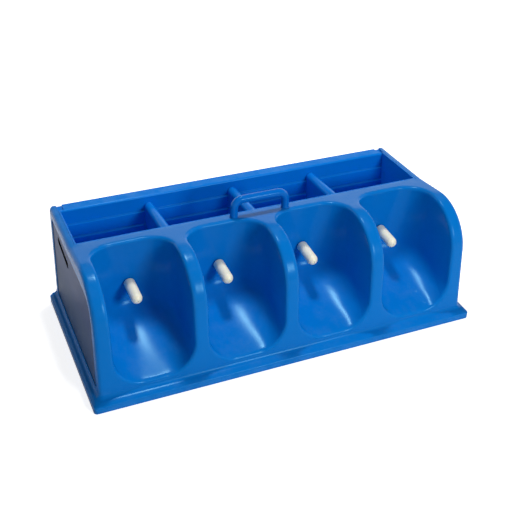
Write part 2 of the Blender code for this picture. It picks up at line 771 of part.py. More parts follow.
def make_base():
    base = base_outline_solid("base_plate", 0.0, 0.0, BASE_THICKNESS, "base", False)
    for k, (x, depth) in enumerate(screw_places()):
        shank = SCREW_RADIUS + CLEARANCE
        head = SCREW_HEAD_RADIUS + CLEARANCE
        profile = [(0.0, 2 * BASE_THICKNESS), (shank, 2 * BASE_THICKNESS),
                   (shank, SCREW_HEAD_HEIGHT + 2 * CLEARANCE), (head, 2 * CLEARANCE),
                   (head, -BASE_THICKNESS), (0.0, -BASE_THICKNESS)]
        place = Matrix.Translation((x, at_depth(depth), 0.0))
        cut(base, turned(f"sink_{k + 1}", profile, SCREW_STEPS, place, cutter=True))
    for k, (x, depth) in enumerate(screw_places()):
        profile = [(0.0, SCREW_LENGTH), (SCREW_RADIUS / 2, SCREW_LENGTH),
                   (SCREW_RADIUS, SCREW_LENGTH - SCREW_RADIUS),
                   (SCREW_RADIUS, SCREW_HEAD_HEIGHT + CLEARANCE), (SCREW_HEAD_RADIUS, 2 * CLEARANCE),
                   (SCREW_HEAD_RADIUS, CLEARANCE), (0.0, CLEARANCE)]
        place = Matrix.Translation((x, at_depth(depth), 0.0))
        turned(f"base_screw_{k + 1}", profile, SCREW_STEPS, place, "steel")


def make_panels():
    for side, name in ((-1, "left"), (1, "right")):
        place = end_place(side)
        panel = flat_plate(f"end_panel_{name}", window_outline(side, -CLEARANCE), -WALL - 2 * CLEARANCE,
                           -PANEL_RECESS, place, "panel")
        flange_face = -WALL - CLEARANCE
        flange = flat_plate(f"panel_flange_{name}", window_outline(side, PANEL_FLANGE),
                            flange_face - PANEL_FLANGE_THICKNESS, flange_face, place, cutter=True)
        join(panel, flange)
        middle_depth = WINDOW_MARGIN_BACK + SLOT_BACK_MARGIN
        middle = Matrix.Translation((side * at_depth(middle_depth),
                                     (WINDOW_TOP - SLOT_TOP_MARGIN) / cos(END_TAPER), 0.0))
        turn = Matrix.Rotation(side * SLOT_TILT, 4, "Z")
        half = (SLOT_LENGTH / 2, SLOT_HEIGHT / 2)
        end = SLOT_HEIGHT / 2 - CLEARANCE
        corners = [(-half[0], -half[1], end), (half[0], -half[1], end), (half[0], half[1], end),
                   (-half[0], half[1], end)]
        slot = flat_plate(f"hand_slot_{name}", rounded(corners, CORNER_ARC_STEPS), -CUT_PAST, CUT_PAST,
                          place @ middle @ turn, cutter=True)
        cut(panel, slot)


def side_view_solid(name, outline, half_length, material=None, cutter=True):
    """A solid whose outline is given in depth and height, running to both sides of the middle."""
    place = Matrix(((0, 0, 1, 0), (1, 0, 0, 0), (0, 1, 0, 0), (0, 0, 0, 1)))
    points = [(at_depth(depth), z) for depth, z in outline]
    return flat_plate(name, points, -half_length, half_length, place, material, cutter)


def tray_back_line(shift):
    """The tray's stepped back wall, top to bottom, moved back by this much: (depth, height) points."""
    line = []
    depth = TRAY_STRIP - shift
    for drop in LEDGE_DROPS:
        height = RIM_BACK_HEIGHT - drop - shift / 2
        line.append((depth, height))
        depth += LEDGE_STEP
        line.append((depth, height - LEDGE_FALL))
    line.append((depth, BIN_FLOOR_FRONT + BIN_FLOOR_RISE - shift))
    return line


def make_tray():
    top_back = RIM_BACK_HEIGHT + RIM_SLOPE * (TRAY_STRIP - TRAY_WALL)
    outer = [(TRAY_STRIP - TRAY_WALL, top_back)] + tray_back_line(TRAY_WALL)
    outer += [(TRAY_FRONT, BIN_FLOOR_FRONT - TRAY_WALL),
              (TRAY_FRONT, RIM_BACK_HEIGHT + RIM_SLOPE * TRAY_FRONT)]
    tray = side_view_solid("milk_tray", outer, TRAY_HALF, "tray", False)
    lip_front = at_depth(TRAY_STRIP - TRAY_WALL / 2)
    lip_low = RIM_BACK_HEIGHT - TRAY_LIP_THICKNESS
    for name, half, top in (("tray_lip", TRAY_HALF, RIM_BACK_HEIGHT - TRAY_LIP_STEP),
                            ("tray_lip_top", CELL_EDGE - TRAY_LIP_END_GAP, RIM_BACK_HEIGHT)):
        join(tray, box(name, (-half, lip_front, lip_low), (half, at_depth(0.0), top), cutter=True))
    above = DECK_BACK_HEIGHT + CUT_PAST
    inner = [(TRAY_STRIP - TRAY_LIP_ROUND, above)]
    for j in range(CORNER_ARC_STEPS + 1):
        angle = pi / 2 * j / CORNER_ARC_STEPS
        inner.append((TRAY_STRIP - TRAY_LIP_ROUND * (1 - sin(angle)),
                      RIM_BACK_HEIGHT - TRAY_LIP_ROUND * (1 - cos(angle))))
    inner += tray_back_line(0.0)
    inner += [(TRAY_INSIDE_FRONT, BIN_FLOOR_FRONT), (TRAY_INSIDE_FRONT, above)]
    cut(tray, side_view_solid("tray_hollow", inner, TRAY_HALF - TRAY_WALL))
    for k in range(1, SCOOP_COUNT):
        x = k * SCOOP_PITCH - CELL_EDGE
        join(tray, divider_solid(f"divider_{k}", 0.0, BIN_FLOOR_FRONT - TRAY_WALL / 2,
                                 TRAY_STRIP - TRAY_WALL / 2, TRAY_INSIDE_FRONT + TRAY_WALL / 2, x))
        cut(tray, divider_solid(f"divider_fold_{k}", TRAY_WALL, BIN_FLOOR_FRONT - CUT_PAST,
                                TRAY_STRIP + len(LEDGE_DROPS) * LEDGE_STEP, TRAY_INSIDE_FRONT, x))
    for k, x in enumerate(scoop_centres()):
        hole = cylinder(f"tray_hole_{k + 1}", HOLE_RADIUS, CUT_PAST, ROUND_STEPS,
                        along_y(x, TRAY_FRONT, TEAT_HEIGHT), cutter=True)
        cut(tray, hole)


def divider_solid(name, shrink, bottom, back, front, x):
    """A wall with a round top from one depth to another, which rises and widens towards the front."""
    bm = bmesh.new()
    rings = []
    for depth in (back, front):
        share = (depth - TRAY_STRIP) / (TRAY_INSIDE_FRONT - TRAY_STRIP)
        half = (DIVIDER_THICKNESS + DIVIDER_SPREAD * share) / 2 - shrink
        top = DIVIDER_HEIGHT + DIVIDER_RISE * share - shrink
        outline = [(-half, bottom), (half, bottom)]
        for j in range(DIVIDER_STEPS + 1):
            angle = pi * j / DIVIDER_STEPS
            outline.append((half * cos(angle), top - half + half * sin(angle)))
        rings.append([bm.verts.new((x + u, at_depth(depth), z)) for u, z in outline])
    count = len(rings[0])
    for k in range(count):
        following = (k + 1) % count
        bm.faces.new((rings[0][k], rings[0][following], rings[1][following], rings[1][k]))
    for ring in rings:
        bm.faces.new(ring)
    bmesh.ops.recalc_face_normals(bm, faces=bm.faces)
    return add_object(name, mesh_from_bmesh(name, bm), None, True)


def make_handle():
    depth = handle_axis()
    radius = HANDLE_DIAMETER / 2
    middle = HANDLE_TOP - radius
    half = HANDLE_SPAN / 2
    route = [(-half, DECK_BACK_HEIGHT - SPIGOT_ROOT)]
    for j in range(HANDLE_BEND_STEPS + 1):
        angle = pi / 2 * j / HANDLE_BEND_STEPS
        route.append((-half + HANDLE_BEND * (1 - cos(angle)), middle - HANDLE_BEND * (1 - sin(angle))))
    route += [(-x, z) for x, z in reversed(route)]
    curve = bpy.data.curves.new("carry_handle", "CURVE")
    curve.dimensions = "3D"
    curve.bevel_depth = radius
    curve.bevel_resolution = 3
    curve.use_fill_caps = True
    spline = curve.splines.new("POLY")
    spline.points.add(len(route) - 1)
    for point, (x, z) in zip(spline.points, route):
        point.co = (x, at_depth(depth), z, 1.0)
    handle = settle(add_object("carry_handle", curve))
    handle.data.materials.append(MATERIALS["handle"])
    reach = HANDLE_DIAMETER * 2
    trim = box("handle_trim", (-half - reach, -reach, -CUT_PAST), (half + reach, reach, CLEARANCE),
               cutter=True)
    trim.matrix_world = deck_place(0.0, depth, 0.0)
    cut(handle, trim)
    low = -WALL - WASHER_THICKNESS - NUT_THICKNESS - 2 * CLEARANCE - SPIGOT_TIP
    high = SPIGOT_ROOT
    for side, name in ((-1, "left"), (1, "right")):
        spigot = cylinder(f"spigot_{name}", SPIGOT_DIAMETER / 2, high - low, ROUND_STEPS,
                          deck_place(side * half, depth, (high + low) / 2), cutter=True)
        join(handle, spigot)
        ring_hole = SPIGOT_DIAMETER / 2 + 2 * CLEARANCE
        washer_top = -WALL - CLEARANCE
        washer_low = washer_top - WASHER_THICKNESS
        profile = [(WASHER_DIAMETER / 2, washer_top), (WASHER_DIAMETER / 2, washer_low),
                   (ring_hole, washer_low), (ring_hole, washer_top)]
        turned(f"handle_washer_{name}", profile, ROUND_STEPS, deck_place(side * half, depth, 0.0), "steel",
               closed=True)
        nut = cylinder(f"handle_nut_{name}", NUT_FLATS / sqrt(3), NUT_THICKNESS, 6,
                       deck_place(side * half, depth, washer_low - CLEARANCE - NUT_THICKNESS / 2), "steel")
        nut_hole = cylinder(f"nut_hole_{name}", ring_hole, 2 * CUT_PAST, ROUND_STEPS,
                            deck_place(side * half, depth, washer_low), cutter=True)
        cut(nut, nut_hole)


def make_valve(number, x):
    """The parts of a check valve, all on one line at the teat's height.

    Its chamber stands in the bin, and its shank runs through the tray and the housing to the teat's barb,
    which is no wider than the shank, so that it goes through the same holes.
    """
    wall_front = scoop_wall(TEAT_HEIGHT)
    head_front = TRAY_INSIDE_FRONT - SEAL_THICKNESS - 2 * CLEARANCE
    head_back = head_front - HEX_THICKNESS
    head_middle = (head_back + head_front) / 2
    chamber_end = head_front - CHAMBER_CAP
    body_back = chamber_end - CHAMBER_LENGTH
    body_radius = CHAMBER_RADIUS + CHAMBER_WALL
    pivot = wall_front + PIVOT_AHEAD
    place = along_y(x, pivot, TEAT_HEIGHT)

    def up(depth):
        return pivot - depth

    neck_start = wall_front + CLEARANCE
    barb = []
    first = asin(NECK_RADIUS / BARB_RADIUS)
    last = pi - asin(BARB_TIP_RADIUS / BARB_RADIUS)
    for j in range(BARB_STEPS + 1):
        angle = first + (last - first) * j / BARB_STEPS
        barb.append((BARB_RADIUS * sin(angle), BARB_RADIUS * cos(angle)))
    profile = [(0.0, up(body_back)), (body_radius, up(body_back)), (body_radius, up(head_middle)),
               (SHANK_RADIUS, up(head_middle)), (SHANK_RADIUS, up(neck_start)), (NECK_RADIUS, up(neck_start))]
    profile += barb + [(0.0, barb[-1][1])]
    body = turned(f"valve_body_{number}", profile, ROUND_STEPS, place, "valve")
    join(body, cylinder(f"valve_hex_{number}", HEX_FLATS / sqrt(3), HEX_THICKNESS, 6,
                        along_y(x, head_middle, TEAT_HEIGHT), cutter=True))
    bore_top = up(body_back) + CUT_PAST
    bore_tip = -BARB_RADIUS - CUT_PAST
    bore = [(0.0, bore_top), (CHAMBER_RADIUS, bore_top), (CHAMBER_RADIUS, up(chamber_end)),
            (CHANNEL_RADIUS, up(chamber_end)), (CHANNEL_RADIUS, bore_tip), (0.0, bore_tip)]
    cut(body, turned(f"valve_bore_{number}", bore, ROUND_STEPS, place, cutter=True))

    seal_top = up(head_front + CLEARANCE)
    seal_low = seal_top - SEAL_THICKNESS
    profile = [(SEAL_RADIUS, seal_top), (SEAL_RADIUS, seal_low),
               (HOLE_RADIUS, seal_low), (HOLE_RADIUS, seal_top)]
    turned(f"valve_seal_{number}", profile, ROUND_STEPS, place, "seal", closed=True)

    seat_front = body_back - CLEARANCE
    seat_end = body_back + SEAT_DEPTH
    spigot = CHAMBER_RADIUS - CLEARANCE
    flange_top = up(seat_front - SEAT_FLANGE_THICKNESS)
    profile = [(SEAT_FLANGE_RADIUS, flange_top), (SEAT_FLANGE_RADIUS, up(seat_front)),
               (spigot, up(seat_front)), (spigot, up(seat_end)), (SEAT_MOUTH, up(seat_end)),
               (SEAT_INLET, up(seat_end - SEAT_MOUTH + SEAT_INLET)), (SEAT_INLET, flange_top)]
    turned(f"valve_seat_{number}", profile, ROUND_STEPS, place, "valve", closed=True)

    ball_depth = seat_end + sqrt(BALL_RADIUS ** 2 - SEAT_MOUTH ** 2) + CLEARANCE
    bm = bmesh.new()
    bmesh.ops.create_uvsphere(bm, u_segments=ROUND_STEPS, v_segments=ROUND_STEPS // 2, radius=BALL_RADIUS)
    ball = add_object(f"check_ball_{number}", mesh_from_bmesh(f"check_ball_{number}", bm), "ball")
    ball.matrix_world = along_y(x, ball_depth, TEAT_HEIGHT)
    smooth(ball)


def make_teat(number, x):
    """The soft teat, turned about its own axis, with its origin at the middle of the round barb."""
    pivot = scoop_wall(TEAT_HEIGHT) + PIVOT_AHEAD
    bore = BARB_RADIUS + CLEARANCE
    shoulder = BARB_RADIUS + TEAT_ROOM
    lip_end = TEAT_ROOT - TEAT_LIP_LENGTH
    tip_end = TEAT_REACH + TEAT_RADIUS
    profile = [(TEAT_RADIUS - TEAT_ROOT_BEVEL, TEAT_ROOT), (TEAT_RADIUS, TEAT_ROOT - TEAT_ROOT_BEVEL / 3),
               (TEAT_RADIUS, -TEAT_REACH)]
    for j in range(1, TIP_STEPS):
        angle = pi / 2 * j / TIP_STEPS
        profile.append((TEAT_RADIUS * cos(angle), -TEAT_REACH - TEAT_RADIUS * sin(angle)))
    profile += [(TEAT_HOLE, -tip_end), (TEAT_HOLE, -tip_end + TEAT_WALL),
                (TEAT_CHANNEL_RADIUS, -TEAT_REACH),
                (TEAT_CHANNEL_RADIUS, -shoulder - bore + TEAT_CHANNEL_RADIUS), (bore, -shoulder),
                (bore, lip_end), (BARB_RADIUS - TEAT_LIP, lip_end + TEAT_LIP / 2),
                (BARB_RADIUS - TEAT_LIP, TEAT_ROOT)]
    place = along_y(x, pivot, TEAT_HEIGHT) @ Matrix.Rotation(TEAT_DROOP, 4, "X")
    turned(f"teat_{number}", profile, ROUND_STEPS, place, "teat", closed=True)


make_housing()
make_base()
make_panels()
make_tray()
make_handle()
for number, scoop_x in enumerate(scoop_centres(), start=1):
    make_valve(number, scoop_x)
    make_teat(number, scoop_x)
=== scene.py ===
"""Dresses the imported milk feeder: smooth blue mouldings, cream teats, valve parts and a white studio."""
from math import acos, asin, cos, pi, radians, sin, sqrt, tan

import bmesh
import bpy
from bpy.props import FloatProperty, FloatVectorProperty, PointerProperty
from mathutils import Matrix, Vector


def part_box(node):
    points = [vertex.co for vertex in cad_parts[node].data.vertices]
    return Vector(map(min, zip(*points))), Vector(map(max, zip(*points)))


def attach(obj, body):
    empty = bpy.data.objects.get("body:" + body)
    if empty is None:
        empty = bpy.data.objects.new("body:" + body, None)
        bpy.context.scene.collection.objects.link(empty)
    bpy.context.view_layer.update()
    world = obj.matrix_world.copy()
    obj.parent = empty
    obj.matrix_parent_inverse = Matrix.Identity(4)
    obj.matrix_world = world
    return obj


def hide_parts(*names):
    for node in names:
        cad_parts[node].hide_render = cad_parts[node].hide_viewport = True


bl_info = {
    "name": "Milk feeder",
    "version": (1, 0, 0),
    "blender": (4, 5, 0),
    "location": "3D View > Sidebar > Feeder",
    "description": "Builds the visible pieces of a milk feeder with four teats and the studio round it",
    "category": "Add Mesh",
}

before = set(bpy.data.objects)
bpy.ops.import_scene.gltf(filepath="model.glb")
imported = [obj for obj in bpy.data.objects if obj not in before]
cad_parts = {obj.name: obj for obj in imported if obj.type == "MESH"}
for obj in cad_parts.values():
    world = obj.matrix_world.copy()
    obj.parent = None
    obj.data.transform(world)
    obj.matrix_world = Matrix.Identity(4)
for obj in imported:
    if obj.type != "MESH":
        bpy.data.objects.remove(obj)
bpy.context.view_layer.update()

ROOT = "feeder"
SCOOPS = 4

# The housing's own sizes, as in the solids, in metres
PITCH = 0.1282
OPENING = 0.1076
SCOOP_LEAN = radians(2.0)
SCOOP_CORNER = 0.033
SCOOP_NOSE = 0.058
LIP_HEIGHT = 0.0236
LOWER_CORNER = 0.040
BEND_HEIGHT = 0.077
FLOOR_POWER = 2.2
BODY_DEPTH = 0.2486
FRONT_DRAFT = radians(4.94)
FRONT_RADIUS = 0.065
RIM_BACK_HEIGHT = 0.1580
DECK_BACK = 0.1125
DECK_BACK_HEIGHT = 0.1618
DECK_SLOPE = radians(7.1)
SCOOP_BACK = 0.131
END_MARGIN = 0.0097
END_TAPER = radians(1.42)
END_ROUND = 0.006
FLANGE_SIDE = 0.0098
FLANGE_FRONT = 0.0112
FLANGE_EDGE = 0.0105
FLANGE_RISE = 0.0025
FLANGE_CORNER = 0.005
FOOT_RIM = 0.0045
REBATE = 0.0043
LEDGE_WIDTH = 0.0175
LEDGE_WIDTH_BACK = 0.0115
WALL = 0.003
BACK_TOP = 0.1543
SKIN_BOTTOM = 0.0061
WINDOW_BACK = 0.015
WINDOW_FRONT = 0.0145
WINDOW_TOP = 0.1462
WINDOW_BOTTOM = 0.021
WINDOW_CORNER = 0.030
WINDOW_SMALL_CORNER = 0.005
WINDOW_SEAM = 0.0014
WINDOW_SOFT = 0.0004
WINDOW_CORNER_STEPS = 10
HANDLE_SPAN = 0.0766
HANDLE_DEPTH = 0.12125
HANDLE_TOP = 0.1937
TEAT_HEIGHT = 0.0975
PIVOT_AHEAD = 0.0062

CELL_EDGE = PITCH * SCOOPS / 2
FLANGE_DEPTH = BODY_DEPTH + FLANGE_FRONT


def at_depth(depth):
    """Y of a place that lies this far forward of the back face."""
    return FLANGE_DEPTH / 2 - depth


def end_x(z):
    """Half the body's length at a height."""
    return CELL_EDGE + END_MARGIN + (DECK_BACK_HEIGHT - z) * tan(END_TAPER)


def scoop_wall(z):
    """Depth of a scoop's back wall at a height above its bend."""
    deck_here = DECK_BACK_HEIGHT + (SCOOP_BACK - DECK_BACK) * tan(DECK_SLOPE)
    return SCOOP_BACK - (deck_here - z) * tan(SCOOP_LEAN)


def scoop_centres():
    return [(k + 0.5) * PITCH - CELL_EDGE for k in range(SCOOPS)]


# Sizes and colours that a user would change

def length_property(name, description, default):
    return FloatProperty(name=name, description=description, default=default, unit="LENGTH")


def angle_property(name, description, default):
    return FloatProperty(name=name, description=description, default=default, subtype="ANGLE")


def share_property(name, description, default):
    return FloatProperty(name=name, description=description, default=default, min=0.0, max=1.0,
                         subtype="FACTOR")


def colour_property(name, description, default):
    return FloatVectorProperty(name=name, description=description, default=default, min=0.0, max=1.0,
                               subtype="COLOR", size=3)


class FeederHousing(bpy.types.PropertyGroup):
    lip: length_property("Lip", "How far the rounding of a scoop's lip reaches", 0.0058)
    foot_fillet: length_property("Foot fillet", "Hollow rounding where the body meets its flange", 0.0065)
    foot_edge: length_property("Flange edge", "Rounding of the flange's outer edges", 0.0020)
    soft_edge: length_property("Tray edges", "Rounding of the milk tray's edges", 0.0013)


class FeederHandle(bpy.types.PropertyGroup):
    diameter: length_property("Bar", "Thickness of the handle's bar", 0.0110)
    bend: length_property("Bend", "Radius of the bends, at the middle of the bar", 0.0120)
    foot: share_property("Foot", "How much wider the bar is where it meets the deck", 0.12)


class FeederTeat(bpy.types.PropertyGroup):
    radius: length_property("Radius", "Radius of a teat", 0.00765)
    reach: length_property("Reach", "From the barb's middle to the start of the round tip", 0.0300)
    droop: angle_property("Droop", "How far a teat hangs below level", radians(3.5))
    root: length_property("Root", "From the barb's middle back to the root's face", 0.0044)


class FeederFinish(bpy.types.PropertyGroup):
    housing: colour_property("Housing", "Blue of the housing", (0.0005, 0.168, 0.580))
    # Lighter than the housing's blue though it is the same plastic: painted light, to brighten the bins where
    # shade falls.
    tray: colour_property("Tray", "Blue of the milk tray", (0.0005, 0.195, 0.720))
    # Navy, much darker than the housing: painted shade, for the end walls are the same blue plastic lying in
    # shadow.
    panel: colour_property("Panels", "Blue of the end panels", (0.003, 0.045, 0.190))
    handle: colour_property("Handle", "Blue of the handle", (0.0005, 0.140, 0.570))
    base: colour_property("Base", "Blue of the base plate", (0.005, 0.090, 0.380))
    teat: colour_property("Teats", "Cream of the teats", (0.97, 0.92, 0.70))
    gloss: share_property("Gloss", "Roughness of the blue plastic", 0.20)
    shine: share_property("Shine", "How strongly the blue plastic mirrors", 0.13)


class FeederStudio(bpy.types.PropertyGroup):
    lens: FloatProperty(name="Lens", description="Focal length on a 36 mm wide frame", default=61.34,
                        unit="CAMERA")
    yaw: angle_property("Yaw", "Turn of the view to the right of straight on", radians(24.32))
    pitch: angle_property("Pitch", "How far the camera looks down", radians(34.29))
    roll: angle_property("Roll", "Turn of the camera about its own view", radians(2.06))
    eye: FloatVectorProperty(name="Eye", description="Where the camera stands", subtype="TRANSLATION",
                             size=3, default=(-0.4302, -0.9557, 0.7998))
    sky: FloatProperty(name="Sky", description="Strength of the even light from all round", default=0.24)
    top: FloatProperty(name="Top light", description="Power of the light above and a little behind",
                       default=8.0)
    front: FloatProperty(name="Front light", description="Power of the light before the scoops",
                         default=13.5)


# Materials

class Net:
    """Short words for adding and linking nodes in one tree."""

    def __init__(self, tree):
        self.tree = tree

    def add(self, kind, **settings):
        node = self.tree.nodes.new(kind)
        for key, value in settings.items():
            setattr(node, key, value)
        return node

    def link(self, start, end):
        self.tree.links.new(start, end)

    def wire(self, start, outlet, end, inlet):
        self.link(start.outputs[outlet], end.inputs[inlet])

    def noise(self, vector, scale, detail=3.0, roughness=0.5):
        node = self.add("ShaderNodeTexNoise")
        node.inputs["Scale"].default_value = scale
        node.inputs["Detail"].default_value = detail
        node.inputs["Roughness"].default_value = roughness
        self.link(vector, node.inputs["Vector"])
        return node.outputs["Fac"]

    def ramp(self, value, low, high, to_low=0.0, to_high=1.0):
        node = self.add("ShaderNodeMapRange")
        node.inputs["From Min"].default_value = low
        node.inputs["From Max"].default_value = high
        node.inputs["To Min"].default_value = to_low
        node.inputs["To Max"].default_value = to_high
        self.link(value, node.inputs["Value"])
        return node.outputs["Result"]

    def math(self, operation, a, b):
        node = self.add("ShaderNodeMath", operation=operation)
        for socket, value in ((node.inputs[0], a), (node.inputs[1], b)):
            if isinstance(value, (int, float)):
                socket.default_value = value
            else:
                self.link(value, socket)
        return node.outputs["Value"]

    def mix(self, factor, a, b, blend="MIX"):
        node = self.add("ShaderNodeMix", data_type="RGBA", blend_type=blend)
        self.link(factor, node.inputs["Factor"])
        for socket, value in ((node.inputs["A"], a), (node.inputs["B"], b)):
            if isinstance(value, tuple):
                socket.default_value = value
            else:
                self.link(value, socket)
        return node.outputs["Result"]


def shader_group(name, inputs, outputs):
    """A shader node group with these named sockets, and the Net to fill it with."""
    tree = bpy.data.node_groups.new(name, "ShaderNodeTree")
    for label, kind, value in inputs:
        socket = tree.interface.new_socket(label, in_out="INPUT", socket_type=kind)
        socket.default_value = value
    for label, kind in outputs:
        tree.interface.new_socket(label, in_out="OUTPUT", socket_type=kind)
    net = Net(tree)
    return net, net.add("NodeGroupInput"), net.add("NodeGroupOutput")


def moulded_skin():
    """Moulded plastic: faint clouds in the colour, pale worn edges, settled dust and a fine grain."""
    if "moulded skin" in bpy.data.node_groups:
        return bpy.data.node_groups["moulded skin"]
    net, start, end = shader_group(
        "moulded skin",
        [("Colour", "NodeSocketColor", (0.0, 0.1, 0.5, 1.0)), ("Roughness", "NodeSocketFloat", 0.25),
         ("Edge", "NodeSocketFloat", 0.25), ("Dust", "NodeSocketFloat", 0.1),
         ("Grain", "NodeSocketFloat", 900.0)],
        [("Colour", "NodeSocketColor"), ("Roughness", "NodeSocketFloat"), ("Height", "NodeSocketFloat")])
    place = net.add("ShaderNodeTexCoord").outputs["Object"]
    geometry = net.add("ShaderNodeNewGeometry")
    clouds = net.noise(place, 9.0, 4.0, 0.55)
    shade = net.ramp(clouds, 0.3, 0.7, 0.97, 1.03)
    tinted = net.add("ShaderNodeHueSaturation")
    net.wire(start, "Colour", tinted, "Color")
    net.link(shade, tinted.inputs["Value"])
    wear = net.ramp(geometry.outputs["Pointiness"], 0.515, 0.60)
    patches = net.ramp(net.noise(place, 60.0, 4.0, 0.6), 0.35, 0.75)
    wear = net.math("MULTIPLY", net.math("MULTIPLY", wear, patches), start.outputs["Edge"])
    worn = net.mix(wear, tinted.outputs["Color"], (0.16, 0.42, 0.85, 1.0))
    up = net.add("ShaderNodeSeparateXYZ")
    net.wire(geometry, "Normal", up, "Vector")
    lying = net.ramp(up.outputs["Z"], 0.55, 1.0)
    flecks = net.ramp(net.noise(place, 35.0, 6.0, 0.7), 0.45, 0.8)
    dust = net.math("MULTIPLY", net.math("MULTIPLY", lying, flecks), start.outputs["Dust"])
    dusty = net.mix(dust, worn, (0.45, 0.47, 0.50, 1.0))
    net.link(dusty, end.inputs["Colour"])
    uneven = net.ramp(net.noise(place, 22.0, 3.0, 0.6), 0.3, 0.7, -0.01, 0.02)
    dull = net.math("ADD", net.math("ADD", start.outputs["Roughness"], uneven),
                    net.math("MULTIPLY", dust, 0.6))
    net.link(dull, end.inputs["Roughness"])
    fine = net.add("ShaderNodeTexNoise")
    fine.inputs["Detail"].default_value = 2.0
    net.wire(start, "Grain", fine, "Scale")
    net.link(place, fine.inputs["Vector"])
    swell = net.noise(place, 38.0, 2.0, 0.5)
    height = net.math("ADD", net.math("MULTIPLY", fine.outputs["Fac"], 0.25),
                      net.math("MULTIPLY", swell, 0.4))
    net.link(height, end.inputs["Height"])
    return net.tree


def upright_streaks():
    """Fine upright streaks, none above a height (brushed lines on steel, a painted reflection of the white
    floor on the end panels), and faces not facing along X darkened at will as painted shade.
    """
    if "upright streaks" in bpy.data.node_groups:
        return bpy.data.node_groups["upright streaks"]
    net, start, end = shader_group(
        "upright streaks",
        [("Colour", "NodeSocketColor", (0.0, 0.05, 0.2, 1.0)),
         ("Pale", "NodeSocketColor", (0.1, 0.15, 0.25, 1.0)),
         ("Roughness", "NodeSocketFloat", 0.25), ("Clear above", "NodeSocketFloat", 9.0),
         ("Painted edge shade", "NodeSocketFloat", 0.0)],
        [("Colour", "NodeSocketColor"), ("Roughness", "NodeSocketFloat"), ("Height", "NodeSocketFloat")])
    place = net.add("ShaderNodeTexCoord").outputs["Object"]
    height = net.add("ShaderNodeSeparateXYZ")
    net.link(place, height.inputs["Vector"])
    below = net.ramp(net.math("SUBTRACT", start.outputs["Clear above"], height.outputs["Z"]), 0.0, 0.03)
    drawn = net.add("ShaderNodeMapping")
    drawn.inputs["Scale"].default_value = (1.0, 1.0, 0.035)
    net.link(place, drawn.inputs["Vector"])
    lines = net.noise(drawn.outputs["Vector"], 620.0, 3.0, 0.65)
    broad = net.noise(drawn.outputs["Vector"], 110.0, 2.0, 0.5)
    # The pale streak mask: brushed lines on steel, and on the end panels a painted reflection of the white
    # floor.
    both = net.math("MULTIPLY", net.ramp(lines, 0.30, 0.65, 0.25, 1.0), net.ramp(broad, 0.3, 0.7, 0.5, 1.0))
    both = net.math("MULTIPLY", both, below)
    streaked = net.mix(both, start.outputs["Colour"], start.outputs["Pale"])
    # Painted shade: faces that do not face along X, the panels' edges and slot sides, are darkened towards
    # near black as the shadow in the seam.
    facing = net.add("ShaderNodeSeparateXYZ")
    net.link(net.add("ShaderNodeNewGeometry").outputs["Normal"], facing.inputs["Vector"])
    across = net.math("ABSOLUTE", facing.outputs["X"], 0.0)
    sides = net.math("MULTIPLY", net.ramp(across, 0.6, 0.95, 1.0, 0.0), start.outputs["Painted edge shade"])
    net.link(net.mix(sides, streaked, (0.001, 0.002, 0.006, 1.0)), end.inputs["Colour"])
    dull = net.math("ADD", start.outputs["Roughness"], net.math("MULTIPLY", both, 0.16))
    net.link(dull, end.inputs["Roughness"])
    net.link(both, end.inputs["Height"])
    return net.tree


def finish(name, group, values, bump, distance=0.0004, metallic=0.0, shine=0.5, tint=(1.0, 1.0, 1.0),
           subsurface=0.0):
    """A Principled material whose colour, roughness and bump come from one node group."""
    if name in bpy.data.materials:
        return bpy.data.materials[name]
    made = bpy.data.materials.new(name)
    made.use_nodes = True
    net = Net(made.node_tree)
    shader = made.node_tree.nodes["Principled BSDF"]
    surface = net.add("ShaderNodeGroup")
    surface.node_tree = group
    for label, value in values.items():
        surface.inputs[label].default_value = value
    net.wire(surface, "Colour", shader, "Base Color")
    net.wire(surface, "Roughness", shader, "Roughness")
    relief = net.add("ShaderNodeBump")
    relief.inputs["Strength"].default_value = bump
    relief.inputs["Distance"].default_value = distance
    net.wire(surface, "Height", relief, "Height")
    net.wire(relief, "Normal", shader, "Normal")
    shader.inputs["Metallic"].default_value = metallic
    shader.inputs["Specular IOR Level"].default_value = shine
    shader.inputs["Specular Tint"].default_value = (*tint, 1.0)
    if subsurface:
        shader.inputs["Subsurface Weight"].default_value = subsurface
        shader.inputs["Subsurface Radius"].default_value = (0.004, 0.003, 0.002)
        shader.inputs["Subsurface Scale"].default_value = 1.0
    made.diffuse_color = (*values["Colour"][:3], 1.0)
    return made


def looks():
    return bpy.context.scene.feeder_finish


BLUE_SHEEN = (0.38, 0.90, 1.00)


def skin(name, color, roughness, edge, dust, grain, bump, **more):
    """A finish of moulded plastic or rubber."""
    return finish(name, moulded_skin(), {"Colour": (*color, 1.0), "Roughness": roughness, "Edge": edge,
                                         "Dust": dust, "Grain": grain}, bump, **more)


def blue(name, color, roughness, edge, dust):
    return skin(name, color, roughness, edge, dust, grain=900.0, bump=0.10, shine=looks().shine,
                tint=BLUE_SHEEN)


def housing_plastic():
    return blue("housing plastic", looks().housing, looks().gloss, edge=0.30, dust=0.05)


def tray_painted_light():
    return blue("tray plastic", looks().tray, looks().gloss + 0.02, edge=0.35, dust=0.05)


def handle_plastic():
    return blue("handle plastic", looks().handle, looks().gloss - 0.08, edge=0.10, dust=0.0)


def base_plastic():
    return blue("base plastic", looks().base, 0.42, edge=0.10, dust=0.0)


